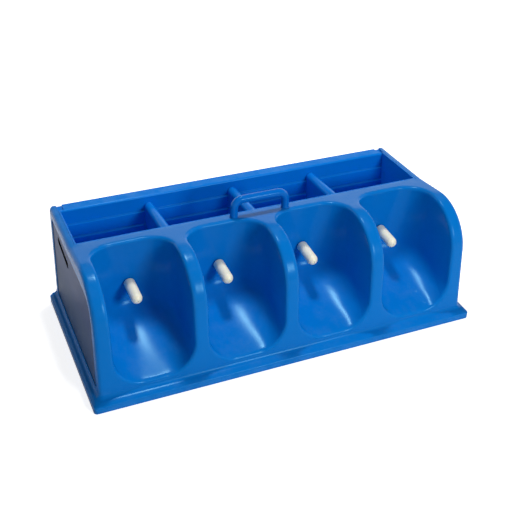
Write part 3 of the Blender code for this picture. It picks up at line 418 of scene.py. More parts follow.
def panel_painted_light():
    """A glossy sheet painted navy as shade, with fine upright scuff lines below its slot painted pale as a
    reflection of the white floor.
    """
    # Painted light on the panels: the navy colour is painted shade, the pale lines below Clear above are a
    # painted reflection of the white floor, and the edge faces are painted near black as shade in the seam.
    return finish("panel plastic", upright_streaks(),
                  {"Colour": (*looks().panel, 1.0), "Pale": (0.10, 0.15, 0.24, 1.0), "Roughness": 0.28,
                   "Clear above": 0.105, "Painted edge shade": 1.0}, 0.12, 0.0002, shine=0.03)


def teat_rubber():
    return skin("teat rubber", looks().teat, 0.42, edge=0.0, dust=0.0, grain=2600.0, bump=0.10,
                subsurface=0.10)


def nylon():
    return skin("valve nylon", (0.72, 0.72, 0.69), 0.36, edge=0.0, dust=0.03, grain=1500.0, bump=0.12)


def black_rubber():
    return skin("seal rubber", (0.02, 0.02, 0.02), 0.55, edge=0.0, dust=0.05, grain=1800.0, bump=0.20)


def ball_plastic():
    return skin("ball plastic", (0.82, 0.82, 0.80), 0.22, edge=0.0, dust=0.0, grain=3000.0, bump=0.05)


def stainless():
    return finish("stainless steel", upright_streaks(),
                  {"Colour": (0.56, 0.56, 0.55, 1.0), "Pale": (0.66, 0.66, 0.65, 1.0), "Roughness": 0.26},
                  0.15, 0.0001, metallic=1.0)


# Small helpers for meshes

def show(name, data):
    """A new object in the scene."""
    made = bpy.data.objects.new(name, data)
    bpy.context.scene.collection.objects.link(made)
    return made


def mesh_from(name, bm, material):
    mesh = bpy.data.meshes.new(name)
    bm.to_mesh(mesh)
    bm.free()
    mesh.materials.append(material)
    return mesh


def smooth(mesh, sharp):
    """Smooth shading, broken at edges sharper than this many degrees."""
    mesh.shade_smooth()
    mesh.set_sharp_from_angle(angle=radians(sharp))


def add_piece(name, bm, material, body=ROOT, sharp=40.0):
    """A visible piece of a finished bmesh, which rides on a body."""
    mesh = mesh_from(name, bm, material)
    smooth(mesh, sharp)
    made = show(name, mesh)
    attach(made, body)
    return made


def settle(made):
    """Replaces an object's modifiers by the plain mesh that they make."""
    bpy.context.view_layer.update()
    shown = made.evaluated_get(bpy.context.evaluated_depsgraph_get())
    mesh = bpy.data.meshes.new_from_object(shown)
    made.modifiers.clear()
    made.data = mesh
    return made


def turn_outwards(bm):
    """Makes an open shape's faces agree and look up on the whole."""
    bmesh.ops.recalc_face_normals(bm, faces=bm.faces)
    if sum(face.normal.z * face.calc_area() for face in bm.faces) < 0:
        bmesh.ops.reverse_faces(bm, faces=bm.faces)


def closed_tube(rings):
    """A bmesh of rings of points, each joined to the next and the last to the first."""
    bm = bmesh.new()
    loops = [[bm.verts.new(point) for point in ring] for ring in rings]
    for upper, lower in zip(loops, loops[1:] + loops[:1]):
        for k in range(len(upper)):
            following = (k + 1) % len(upper)
            bm.faces.new((upper[k], upper[following], lower[following], lower[k]))
    bmesh.ops.recalc_face_normals(bm, faces=bm.faces)
    return bm


def even_normals(made):
    weighted = made.modifiers.new("even normals", "WEIGHTED_NORMAL")
    weighted.keep_sharp = True
    weighted.weight = 80
    return settle(made)


def softened_copy(node, name, material, width):
    """A copy of a solid with its flat faces merged and its edges rounded, in the solid's place."""
    bm = bmesh.new()
    bm.from_mesh(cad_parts[node].data)
    bmesh.ops.remove_doubles(bm, verts=bm.verts, dist=0.00001)
    bmesh.ops.dissolve_limit(bm, angle_limit=radians(0.5), verts=bm.verts, edges=bm.edges)
    made = add_piece(name, bm, material)
    bevel = made.modifiers.new("soft edges", "BEVEL")
    bevel.width = width
    bevel.segments = 2
    bevel.limit_method = "ANGLE"
    bevel.angle_limit = radians(30)
    bevel.use_clamp_overlap = True
    settle(made)
    smooth(made.data, 50.0)
    even_normals(made)
    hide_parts(node)
    return made


def rounded(corners, steps):
    """An outline whose corners (u, v, radius) are rounded, for a convex shape."""
    outline = []
    count = len(corners)
    for k, (u, v, radius) in enumerate(corners):
        here = Vector((u, v))
        before = (Vector(corners[k - 1][:2]) - here).normalized()
        after = (Vector(corners[(k + 1) % count][:2]) - here).normalized()
        half = before.angle(after) / 2
        reach = radius / tan(half)
        centre = here + (before + after).normalized() * radius / sin(half)
        start = here + before * reach - centre
        end = here + after * reach - centre
        turn = start.angle_signed(end)
        for j in range(steps + 1):
            arm = Matrix.Rotation(-turn * j / steps, 2) @ start
            outline.append(tuple(centre + arm))
    return outline


# The housing's outer skin, as an end view

class Skin:
    """The line that the deck, the round front and the front face follow, with the length along it."""

    def __init__(self):
        self.deck_normal = (-sin(DECK_SLOPE), cos(DECK_SLOPE))
        self.front_normal = (cos(FRONT_DRAFT), sin(FRONT_DRAFT))
        deck_offset = self.dot(self.deck_normal, (DECK_BACK, DECK_BACK_HEIGHT)) - FRONT_RADIUS
        front_offset = self.dot(self.front_normal, (BODY_DEPTH, 0.0)) - FRONT_RADIUS
        a, b = self.deck_normal
        c, d = self.front_normal
        area = a * d - b * c
        self.centre = ((deck_offset * d - b * front_offset) / area,
                       (a * front_offset - deck_offset * c) / area)
        self.turn_start = -DECK_SLOPE
        self.turn_end = pi / 2 - FRONT_DRAFT
        self.deck_end = self.on_arc(self.turn_start)
        self.arc_end = self.on_arc(self.turn_end)
        self.deck_length = (self.deck_end[0] - DECK_BACK) / cos(DECK_SLOPE)
        self.arc_length = FRONT_RADIUS * (self.turn_end - self.turn_start)

    @staticmethod
    def dot(p, q):
        return p[0] * q[0] + p[1] * q[1]

    def on_arc(self, angle):
        return (self.centre[0] + FRONT_RADIUS * sin(angle), self.centre[1] + FRONT_RADIUS * cos(angle))

    def point(self, length):
        """Depth, height and outward normal at a length from the deck's back edge."""
        if length <= self.deck_length:
            return (DECK_BACK + length * cos(DECK_SLOPE), DECK_BACK_HEIGHT + length * sin(DECK_SLOPE),
                    *self.deck_normal)
        along = length - self.deck_length
        if along <= self.arc_length:
            angle = self.turn_start + along / FRONT_RADIUS
            return (*self.on_arc(angle), sin(angle), cos(angle))
        along -= self.arc_length
        return (self.arc_end[0] + along * sin(FRONT_DRAFT), self.arc_end[1] - along * cos(FRONT_DRAFT),
                *self.front_normal)

    def length_at_depth(self, depth):
        if depth <= self.deck_end[0]:
            return (depth - DECK_BACK) / cos(DECK_SLOPE)
        angle = asin((depth - self.centre[0]) / FRONT_RADIUS)
        return self.deck_length + (angle - self.turn_start) * FRONT_RADIUS

    def length_at_height(self, height):
        if height >= self.arc_end[1]:
            angle = acos(min(1.0, (height - self.centre[1]) / FRONT_RADIUS))
            return self.deck_length + (angle - self.turn_start) * FRONT_RADIUS
        return self.deck_length + self.arc_length + (self.arc_end[1] - height) / cos(FRONT_DRAFT)


SKIN = Skin()
SHOULDER_ANGLE = radians(30.0)
NEAR_LIP = (0.22, 0.46, 0.72, 1.02)
SIDE_STEPS = 9
CORNER_STEPS = 10
BACK_STEPS = 6
DROP_ROWS = 7
ARC_ROWS = 9
FRONT_ROWS = 8
LOWER_ROWS = 14
RINGS = 3


def half_width(z):
    """Half the opening's width at a height, where the lower corners draw it in."""
    missing = max(0.0, LIP_HEIGHT + LOWER_CORNER - z)
    return OPENING / 2 - LOWER_CORNER + sqrt(max(0.0, LOWER_CORNER ** 2 - missing ** 2))


def scoop_back(z):
    """Depth of the scoop's back at a height: a nearly upright wall that bends into a floor."""
    wall = scoop_wall(max(z, BEND_HEIGHT))
    if z >= BEND_HEIGHT:
        return wall
    lip = SKIN.point(SKIN.length_at_height(LIP_HEIGHT))[0]
    fall = (BEND_HEIGHT - z) / (BEND_HEIGHT - LIP_HEIGHT)
    return wall + (lip - wall) * fall ** FLOOR_POWER


def bowl_share(z):
    """How far a level slice has gone from round corners at the deck, 0, to a bowl at the bend, 1."""
    deck = SKIN.point(SKIN.length_at_depth(SCOOP_BACK))[1]
    return min(1.0, max(0.0, (deck - z) / (deck - BEND_HEIGHT)))


def level_slice(half, back, front, lip, bowl):
    """(x, depth) points round a level slice, closer together near the lip at both ends."""
    corner_x = SCOOP_CORNER + (half - SCOOP_CORNER) * bowl
    corner_y = min(SCOOP_CORNER + (SCOOP_NOSE - SCOOP_CORNER) * bowl, (front - back) * 0.9)
    run = front - back - corner_y
    near = [share * min(lip, run / 2) for share in (0.0,) + NEAR_LIP]
    even = [near[-1] + (run - near[-1]) * j / SIDE_STEPS for j in range(1, SIDE_STEPS)]
    left = [(-half, front - step) for step in near + even]
    for j in range(CORNER_STEPS + 1):
        angle = pi / 2 * j / CORNER_STEPS
        left.append((-half + corner_x * (1 - cos(angle)), back + corner_y * (1 - sin(angle))))
    inner = left[-1][0]
    middle = [(inner - 2 * inner * j / BACK_STEPS, back) for j in range(1, BACK_STEPS)]
    return left + middle + [(-x, depth) for x, depth in reversed(left)]


def scoop_rows(lip):
    """The scoop's surface as rows of (x, depth, z), from its upper edge on the skin down to its lower lip."""
    shoulder = SKIN.deck_length + (SHOULDER_ANGLE - SKIN.turn_start) * FRONT_RADIUS
    arc_end = SKIN.deck_length + SKIN.arc_length
    top = [(x, depth, SKIN.point(SKIN.length_at_depth(depth))[1])
           for x, depth in level_slice(OPENING / 2, SCOOP_BACK, SKIN.point(shoulder)[0], lip, 0.0)]
    levels = [SKIN.point(shoulder + (arc_end - shoulder) * (j + 1) / ARC_ROWS)[1] for j in range(ARC_ROWS)]
    low = LIP_HEIGHT + LOWER_CORNER
    levels += [SKIN.arc_end[1] + (low - SKIN.arc_end[1]) * (j + 1) / FRONT_ROWS for j in range(FRONT_ROWS)]
    rises = [LOWER_CORNER * (1 - sin(pi / 2 * j / LOWER_ROWS)) for j in range(1, LOWER_ROWS)]
    close = [share * lip * 0.2 for share in (*reversed(NEAR_LIP), 0.02)]
    rises = [rise for rise in rises if rise > close[0] * 1.2] + close
    levels += [LIP_HEIGHT + rise for rise in rises]
    rows = [top]
    for z in levels:
        front = SKIN.point(SKIN.length_at_height(z))[0]
        points = level_slice(half_width(z), scoop_back(z), front, lip, bowl_share(z))
        rows.append([(x, depth, z) for x, depth in points])
    rows[1:1] = dropped_rows(rows[0], rows[1], shoulder, lip)
    lip_half = half_width(LIP_HEIGHT)
    lip_depth = SKIN.point(SKIN.length_at_height(LIP_HEIGHT))[0]
    count = len(top) - 1
    rows.append([(-lip_half + 2 * lip_half * i / count, lip_depth, LIP_HEIGHT) for i in range(count + 1)])
    return rows


def dropped_rows(upper, lower, shoulder, lip):
    """Rows between the upper edge and the first level slice, close together just under the edge."""
    end_run = SKIN.length_at_height(lower[0][2]) - shoulder
    rows = []
    for j in range(len(NEAR_LIP) + DROP_ROWS - 1):
        row = []
        for i, (a, b) in enumerate(zip(upper, lower)):
            a, b = Vector(a), Vector(b)
            edge = i in (0, len(upper) - 1)
            run = end_run if edge else (b - a).length
            near = min(lip, run / 2)
            if j < len(NEAR_LIP):
                drop = NEAR_LIP[j] * near
            else:
                first = NEAR_LIP[-1] * near
                drop = first + (run - first) * (j - len(NEAR_LIP) + 1) / DROP_ROWS
            if edge:
                depth, z = SKIN.point(shoulder + drop)[:2]
                row.append((a.x, depth, z))
            else:
                row.append(tuple(a.lerp(b, drop / run)))
        rows.append(row)
    return rows


def edge_loop(rows):
    """Grid places of the scoop's edge, clockwise as seen from outside."""
    last_column = len(rows[0]) - 1
    last_row = len(rows) - 1
    upper = [(0, i) for i in range(last_column + 1)]
    right = [(j, last_column) for j in range(1, last_row + 1)]
    lower = [(last_row, i) for i in range(last_column - 1, 0, -1)]
    left = [(j, 0) for j in range(last_row, 0, -1)]
    return upper + right + lower + left


def edge_length(row, point):
    return SKIN.length_at_depth(point[1]) if row == 0 else SKIN.length_at_height(point[2])


def border_points(spots):
    """For each (x, length) of the edge, its place on the border of the scoop's cell."""
    half = PITCH / 2
    middle = SKIN.length_at_height(SKIN_BOTTOM) / 2
    scaled = [(x / half, (length - middle) / middle) for x, length in spots]
    targets = [[u / max(abs(u), abs(v)), v / max(abs(u), abs(v))] for u, v in scaled]
    for corner_u in (-1, 1):
        for corner_v in (-1, 1):
            nearest = min(range(len(targets)),
                          key=lambda k: (targets[k][0] - corner_u) ** 2 + (targets[k][1] - corner_v) ** 2)
            targets[nearest] = [corner_u, corner_v]
    return [(u * half, middle + v * middle) for u, v in targets]


def on_skin(x, length):
    return Vector((x, *SKIN.point(length)[:2]))


def lip_frames(points, lengths, inner):
    """At each edge point: the way out along the skin and the way in along the scoop's wall."""
    count = len(points)
    frames = []
    middle = sum(points, Vector()) / count
    for k, point in enumerate(points):
        along = (points[(k + 1) % count] - points[k - 1]).normalized()
        normal = Vector((0.0, *SKIN.point(lengths[k])[2:]))
        out = along.cross(normal).normalized()
        if out.dot(point - middle) < 0:
            out = -out
        way = inner[k] - point
        way = (way - along * way.dot(along)).normalized()
        frames.append((out, way))
    return frames


def round_lip(spots, points, frames, lip, scoop_side):
    """Moves the points that lie near the scoop's edge onto a smooth curve over it."""
    count = len(points)
    moved = []
    for spot in spots:
        best = None
        for k in range(count):
            start = points[k]
            run = points[(k + 1) % count] - start
            share = min(1.0, max(0.0, (spot - start).dot(run) / run.length_squared))
            nearest = start + run * share
            gap = (spot - nearest).length
            if best is None or gap < best[0]:
                best = (gap, nearest, k, share)
        gap, nearest, k, share = best
        if gap >= lip:
            moved.append(spot)
            continue
        out = frames[k][0].lerp(frames[(k + 1) % count][0], share).normalized()
        way = frames[k][1].lerp(frames[(k + 1) % count][1], share).normalized()
        turn = 0.5 + 0.5 * gap / lip if scoop_side else 0.5 - 0.5 * gap / lip
        curve = nearest + out * lip * (1 - turn) ** 2 + way * lip * turn ** 2
        straight = nearest + (way if scoop_side else out) * gap
        moved.append(spot + curve - straight)
    return moved


def scoop_cell(lip):
    """One scoop and the skin round it, about X = 0: its faces, and the border's lengths on the right side."""
    rows = [[Vector(p) for p in row] for row in scoop_rows(lip)]
    loop = edge_loop(rows)
    edge = [rows[j][i].copy() for j, i in loop]
    lengths = [edge_length(j, rows[j][i]) for j, i in loop]
    last_row = len(rows) - 1
    last_column = len(rows[0]) - 1
    inner = []
    for j, i in loop:
        if j == last_row:
            above = LIP_HEIGHT + lip * 0.1
            inner.append(Vector((rows[j][i].x, scoop_back(above), above)))
        else:
            inner.append(rows[max(j, 1)][min(max(i, 1), last_column - 1)])
    frames = lip_frames(edge, lengths, inner)
    faces = []
    rounded_rows = []
    for row in rows:
        rounded_rows.append(round_lip(row, edge, frames, lip, True))
    for upper, lower in zip(rounded_rows, rounded_rows[1:]):
        for i in range(len(upper) - 1):
            faces.append((upper[i], lower[i], lower[i + 1], upper[i + 1]))
    targets = border_points([(point.x, length) for point, length in zip(edge, lengths)])
    rings = []
    steps = [share * lip for share in NEAR_LIP]
    for j in range(len(steps) + RINGS):
        ring = []
        for point, length, (x, border) in zip(edge, lengths, targets):
            run = Vector((x - point.x, border - length))
            if j < len(steps):
                share = steps[j] / run.length
            else:
                first = steps[-1] / run.length
                share = first + (1 - first) * (j - len(steps) + 1) / RINGS
            ring.append(on_skin(point.x + run.x * share, length + run.y * share))
        rings.append(ring)
    shaped = [round_lip(edge, edge, frames, lip, True)]
    shaped += [round_lip(ring, edge, frames, lip, False) for ring in rings[:-1]] + [rings[-1]]
    for near, far in zip(shaped, shaped[1:]):
        for k in range(len(loop)):
            following = (k + 1) % len(loop)
            faces.append((near[k], near[following], far[following], far[k]))
    border = sorted({round(length, 7) for x, length in targets if abs(x - PITCH / 2) < 1e-9})
    return faces, border


END_COLUMNS = 8


def end_columns(lengths):
    """The +X end's edge: columns of (x, depth, z) from the rim's flat part round to the end wall."""
    rim = Vector((DECK_BACK, DECK_BACK_HEIGHT - RIM_BACK_HEIGHT)).normalized()
    stations = [(0.0, SKIN_BOTTOM, (1.0, 0.0)), (0.0, RIM_BACK_HEIGHT, (1.0, -1.0 / rim[0]))]
    for length in lengths:
        depth, z, out_depth, out_z = SKIN.point(length)
        stations.append((depth, z, (-out_depth, -out_z)))
    depth, z, inward = stations[-1]
    stations[-1] = (depth, z, (-1.0 / cos(FRONT_DRAFT), 0.0))
    columns = []
    for k in range(END_COLUMNS + 1):
        angle = pi / 2 * k / END_COLUMNS
        inset = END_ROUND * (1 - cos(angle))
        column = []
        for depth, z, (in_depth, in_z) in stations:
            new_z = z + in_z * inset
            x = end_x(new_z) - END_ROUND * (1 - sin(angle))
            column.append(Vector((x, depth + in_depth * inset, new_z)))
        columns.append(column)
    rim_line = [Vector((CELL_EDGE, depth, z)) for depth, z, inward in stations]
    return rim_line, columns


def window_line(grow, sunk):
    """The end window's outline on the +X end wall, grown by this much and sunk into the wall."""
    front_low = BODY_DEPTH - WINDOW_BOTTOM * tan(FRONT_DRAFT) - WINDOW_FRONT + grow
    front_high = BODY_DEPTH - WINDOW_TOP * tan(FRONT_DRAFT) - WINDOW_FRONT + grow
    corners = [(front_low, WINDOW_BOTTOM - grow, WINDOW_SMALL_CORNER + grow),
               (WINDOW_BACK - grow, WINDOW_BOTTOM - grow, WINDOW_SMALL_CORNER + grow),
               (WINDOW_BACK - grow, WINDOW_TOP + grow, WINDOW_SMALL_CORNER + grow),
               (front_high, WINDOW_TOP + grow, WINDOW_CORNER + grow)]
    corners.reverse()
    return [Vector((end_x(z) - sunk, depth, z)) for depth, z in rounded(corners, WINDOW_CORNER_STEPS)]


class Builder:
    """Collects faces given as (x, depth, z) corners, and welds equal corners."""

    def __init__(self):
        self.mesh = bmesh.new()
        self.known = {}

    def corner(self, point):
        key = tuple(round(value, 6) for value in point)
        if key not in self.known:
            self.known[key] = self.mesh.verts.new((point[0], at_depth(point[1]), point[2]))
        return self.known[key]

    def face(self, points):
        corners = []
        for point in points:
            vert = self.corner(point)
            if vert not in corners:
                corners.append(vert)
        if len(corners) > 2 and self.mesh.faces.get(corners) is None:
            self.mesh.faces.new(corners)

    def strip(self, upper, lower, closed=False):
        count = len(upper)
        for k in range(count if closed else count - 1):
            following = (k + 1) % count
            self.face([upper[k], upper[following], lower[following], lower[k]])

    def fill_between(self, outer, inner):
        """Fills the flat ring between two loops."""
        edges = []
        for loop in (outer, inner):
            verts = [self.corner(point) for point in loop]
            for k, vert in enumerate(verts):
                other = verts[(k + 1) % len(verts)]
                edges.append(self.mesh.edges.get((vert, other)) or self.mesh.edges.new((vert, other)))
        bmesh.ops.triangle_fill(self.mesh, use_beauty=True, edges=edges)


def make_housing(lip):
    """One half's scoops, end, window and back, mirrored to the other half and thickened inwards."""
    builder = Builder()
    cell, lengths = scoop_cell(lip)
    for centre in scoop_centres()[SCOOPS // 2:]:
        shift = Vector((centre, 0.0, 0.0))
        for corners in cell:
            builder.face([corner + shift for corner in corners])
    rim, columns = end_columns(lengths)
    builder.strip(rim[1:], columns[0][1:])
    for inner, outer in zip(columns, columns[1:]):
        builder.strip(inner, outer)
    grown = window_line(WINDOW_SEAM + WINDOW_SOFT, 0.0)
    middle = window_line(WINDOW_SEAM + WINDOW_SOFT * 0.3, WINDOW_SOFT * 0.3)
    edge = window_line(WINDOW_SEAM, WINDOW_SOFT)
    deep = window_line(WINDOW_SEAM, WALL)
    builder.fill_between(columns[-1], grown)
    for outer, inner in ((grown, middle), (middle, edge), (edge, deep)):
        builder.strip(outer, inner, closed=True)
    builder.face([columns[0][0], Vector((0.0, 0.0, SKIN_BOTTOM)), Vector((0.0, 0.0, BACK_TOP)),
                  Vector((CELL_EDGE, 0.0, BACK_TOP)), rim[1], columns[0][1]])
    bm = builder.mesh
    mirrored = bmesh.ops.duplicate(bm, geom=bm.faces[:] + bm.edges[:] + bm.verts[:])
    copied = [item for item in mirrored["geom"] if isinstance(item, bmesh.types.BMVert)]
    bmesh.ops.scale(bm, vec=(-1.0, 1.0, 1.0), verts=copied)
    bmesh.ops.remove_doubles(bm, verts=bm.verts, dist=0.000002)
    turn_outwards(bm)
    made = add_piece("housing", bm, housing_plastic(), ROOT)
    wall = made.modifiers.new("wall", "SOLIDIFY")
    wall.thickness = WALL
    wall.offset = -1.0
    settle(made)
    made.data.set_sharp_from_angle(angle=radians(40))
    even_normals(made)
    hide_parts("housing_shell")
    return made


FOOT_CORNER_STEPS = 8
FILLET_STEPS = 6
FILLET_SINK = 0.0001
EDGE_STEPS = 4
# How far the flange's rounded edge stands over FLANGE_EDGE, as shares of its radius: where it starts, and
# the arc that follows
EDGE_START = 0.3
EDGE_TOP = 0.2
BEHIND_GAP = 0.00005


def fillet_levels(fillet):
    """The hollow rounding from the body's wall down to the flange: (z, out from the body)."""
    top = FLANGE_EDGE + FLANGE_RISE
    levels = []
    for j in range(FILLET_STEPS + 1):
        angle = pi / 2 * j / FILLET_STEPS
        levels.append((top + fillet * (1 - sin(angle)), (1 - cos(angle)) * fillet - FILLET_SINK))
    return levels


def make_foot(sizes):
    """The foot flange all round, with a hollow rounding up the body's wall and the rebate underneath."""
    levels = fillet_levels(sizes.foot_fillet)
    edge = sizes.foot_edge
    rings = []
    full_x = end_x(0.0) + FLANGE_SIDE
    back_corner = FLANGE_CORNER / 2

    def ring(z, half, front, back, corner):
        corners = [(-half, at_depth(back), back_corner), (-half, at_depth(front), corner),
                   (half, at_depth(front), corner), (half, at_depth(back), back_corner)]
        rings.append([(x, y, z) for x, y in rounded(corners, FOOT_CORNER_STEPS)])

    for z, out in levels:
        ring(z, end_x(z) + out, BODY_DEPTH - z * tan(FRONT_DRAFT) + out, BEHIND_GAP, END_ROUND + out / 2)
    ring(FLANGE_EDGE + edge * EDGE_START, full_x - edge, FLANGE_DEPTH - edge, BEHIND_GAP, FLANGE_CORNER)
    for j in range(1, EDGE_STEPS + 1):
        angle = pi / 2 * j / EDGE_STEPS
        inset = edge * (1 - sin(angle))
        ring(FLANGE_EDGE + edge * EDGE_TOP - edge * (1 - cos(angle)), full_x - inset, FLANGE_DEPTH - inset,
             BEHIND_GAP, FLANGE_CORNER)
    small = edge / 3
    ring(small, full_x, FLANGE_DEPTH, 0.0, FLANGE_CORNER)
    ring(0.0, full_x - small, FLANGE_DEPTH - small, small, FLANGE_CORNER)
    for z in (0.0, REBATE):
        ring(z, full_x - FOOT_RIM, FLANGE_DEPTH - FOOT_RIM, FOOT_RIM, back_corner)
    ledge = FOOT_RIM + LEDGE_WIDTH
    for z in (REBATE, levels[0][0]):
        ring(z, full_x - ledge, FLANGE_DEPTH - ledge, FOOT_RIM + LEDGE_WIDTH_BACK, back_corner)
    made = add_piece("foot_flange", closed_tube(rings), housing_plastic(), ROOT, 50.0)
    return even_normals(made)


# Geometry Nodes

def geometry_tree(name, inputs):
    """A geometry tree with a geometry input and output and these named inputs."""
    tree = bpy.data.node_groups.new(name, "GeometryNodeTree")
    tree.interface.new_socket("Geometry", in_out="INPUT", socket_type="NodeSocketGeometry")
    for label, kind, value in inputs:
        socket = tree.interface.new_socket(label, in_out="INPUT", socket_type=kind)
        if value is not None:
            socket.default_value = value
    tree.interface.new_socket("Geometry", in_out="OUTPUT", socket_type="NodeSocketGeometry")
    net = Net(tree)
    return net, net.add("NodeGroupInput"), net.add("NodeGroupOutput")


def apply_tree(made, tree, values):
    """Runs a geometry tree on an object with these input values, and keeps the plain mesh it makes."""
    step = made.modifiers.new(tree.name, "NODES")
    step.node_group = tree
    for item in tree.interface.items_tree:
        if item.in_out == "INPUT" and item.name in values:
            step[item.identifier] = values[item.name]
    return settle(made)


def bar_tree():
    """A round bar along the object's line, whose width follows the line's own swell attribute."""
    net, start, end = geometry_tree("round bar", [("Radius", "NodeSocketFloat", 0.005),
                                                  ("Steps", "NodeSocketInt", 32),
                                                  ("Material", "NodeSocketMaterial", None)])
    swell = net.add("GeometryNodeInputNamedAttribute", data_type="FLOAT")
    swell.inputs["Name"].default_value = "swell"
    path = net.add("GeometryNodeMeshToCurve")
    outline = net.add("GeometryNodeCurvePrimitiveCircle")
    bar = net.add("GeometryNodeCurveToMesh")
    bar.inputs["Fill Caps"].default_value = True
    colour = net.add("GeometryNodeSetMaterial")
    net.wire(start, "Geometry", path, "Mesh")
    net.wire(start, "Steps", outline, "Resolution")
    net.wire(start, "Radius", outline, "Radius")
    net.wire(path, "Curve", bar, "Curve")
    net.wire(outline, "Curve", bar, "Profile Curve")
    net.wire(swell, "Attribute", bar, "Scale")
    net.wire(bar, "Mesh", colour, "Geometry")
    net.wire(start, "Material", colour, "Material")
    net.wire(colour, "Geometry", end, "Geometry")
    return net.tree


def deck_height(depth):
    return DECK_BACK_HEIGHT + (depth - DECK_BACK) * tan(DECK_SLOPE)


HANDLE_SINK = 0.0005
HANDLE_SIDES = 32
HANDLE_BEND_STEPS = 16
# Height over the bar's foot, and the share of the foot's extra width that is left there
HANDLE_FLARE = ((0.0, 1.0), (0.0012, 0.6), (0.0030, 0.15), (0.0050, 0.0))


def make_handle(sizes):
    """The bow handle: a round bar with two bends, a little wider where it meets the deck."""
    radius = sizes.diameter / 2
    middle = HANDLE_TOP - radius
    half = HANDLE_SPAN / 2
    foot = deck_height(HANDLE_DEPTH) - HANDLE_SINK
    route = [(-half, foot + rise, 1.0 + sizes.foot * share) for rise, share in HANDLE_FLARE]
    for j in range(HANDLE_BEND_STEPS + 1):
        angle = pi / 2 * j / HANDLE_BEND_STEPS
        route.append((-half + sizes.bend * (1 - cos(angle)), middle - sizes.bend * (1 - sin(angle)), 1.0))
    route += [(-x, z, swell) for x, z, swell in reversed(route)]
    bm = bmesh.new()
    points = [bm.verts.new((x, at_depth(HANDLE_DEPTH), z)) for x, z, swell in route]
    for a, b in zip(points, points[1:]):
        bm.edges.new((a, b))
    made = add_piece("handle", bm, handle_plastic(), ROOT)
    layer = made.data.attributes.new("swell", "FLOAT", "POINT")
    for item, (x, z, swell) in zip(layer.data, route):
        item.value = swell
    apply_tree(made, bar_tree(), {"Radius": radius, "Steps": HANDLE_SIDES, "Material": handle_plastic()})
    smooth(made.data, 60.0)
    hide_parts("carry_handle")
    return made


TEAT_SIDES = 40
TEAT_ROLL = 0.0012
TEAT_ROLL_STEPS = 6
TEAT_TIP_STEPS = 13
TEAT_SHOULDER = 0.006
TEAT_CHANNEL = 0.0033
# The hole in the tip as (radius, depth into the tip), and the barb's socket as (radius, depth into the root)
TEAT_TIP_HOLE = ((0.0012, 0.00005), (0.0008, 0.0004), (0.0008, 0.0020))
TEAT_SOCKET = ((TEAT_CHANNEL, 0.0110), (0.0047, 0.0100), (0.0047, 0.0009), (0.0036, 0.0006),
               (0.0036, 0.0003))


def teat_profile(sizes):
    """The teat's section as (radius, height along its axis): down the outside, in at the tip and back up."""
    radius = sizes.radius
    root = sizes.root
    profile = []
    for j in range(TEAT_ROLL_STEPS + 1):
        angle = pi / 2 * j / TEAT_ROLL_STEPS
        profile.append((radius - TEAT_ROLL + TEAT_ROLL * sin(angle), root - TEAT_ROLL * (1 - cos(angle))))
    profile += [(radius, root - TEAT_SHOULDER), (radius, -sizes.reach * 0.5)]
    for j in range(TEAT_TIP_STEPS):
        angle = pi / 2 * j / TEAT_TIP_STEPS
        profile.append((radius * cos(angle), -sizes.reach - radius * sin(angle)))
    profile += [(r, depth - sizes.reach - radius) for r, depth in TEAT_TIP_HOLE]
    profile.append((TEAT_CHANNEL, -sizes.reach))
    return profile + [(r, root - depth) for r, depth in TEAT_SOCKET]


def make_teat(number, x, sizes):
    """A soft teat: a smooth tube with a round tip, a small hole and a rolled root."""
    pivot = Matrix.Translation((x, at_depth(scoop_wall(TEAT_HEIGHT) + PIVOT_AHEAD), TEAT_HEIGHT))
    place = pivot @ Matrix.Rotation(-pi / 2 + sizes.droop, 4, "X")
    turns = [2 * pi * k / TEAT_SIDES for k in range(TEAT_SIDES)]
    rings = [[place @ Vector((r * cos(turn), r * sin(turn), height)) for turn in turns]
             for r, height in teat_profile(sizes)]
    made = add_piece(f"teat_{number}_rubber", closed_tube(rings), teat_rubber(), f"soft_teat_{number}",
                     60.0)
    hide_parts(f"teat_{number}")
    return made


SCREW_SIDES = 32
SCREW_SHANK_SIDES = 16
SCREW_HEAD_HEIGHT = 0.0018
SCREW_RECESS = (0.0042, 0.0008, 0.0022)
SCREW_SHANK_START = 0.0012
# What a screw's shank is short of the whole screw
SCREW_SHORTER = 0.0013


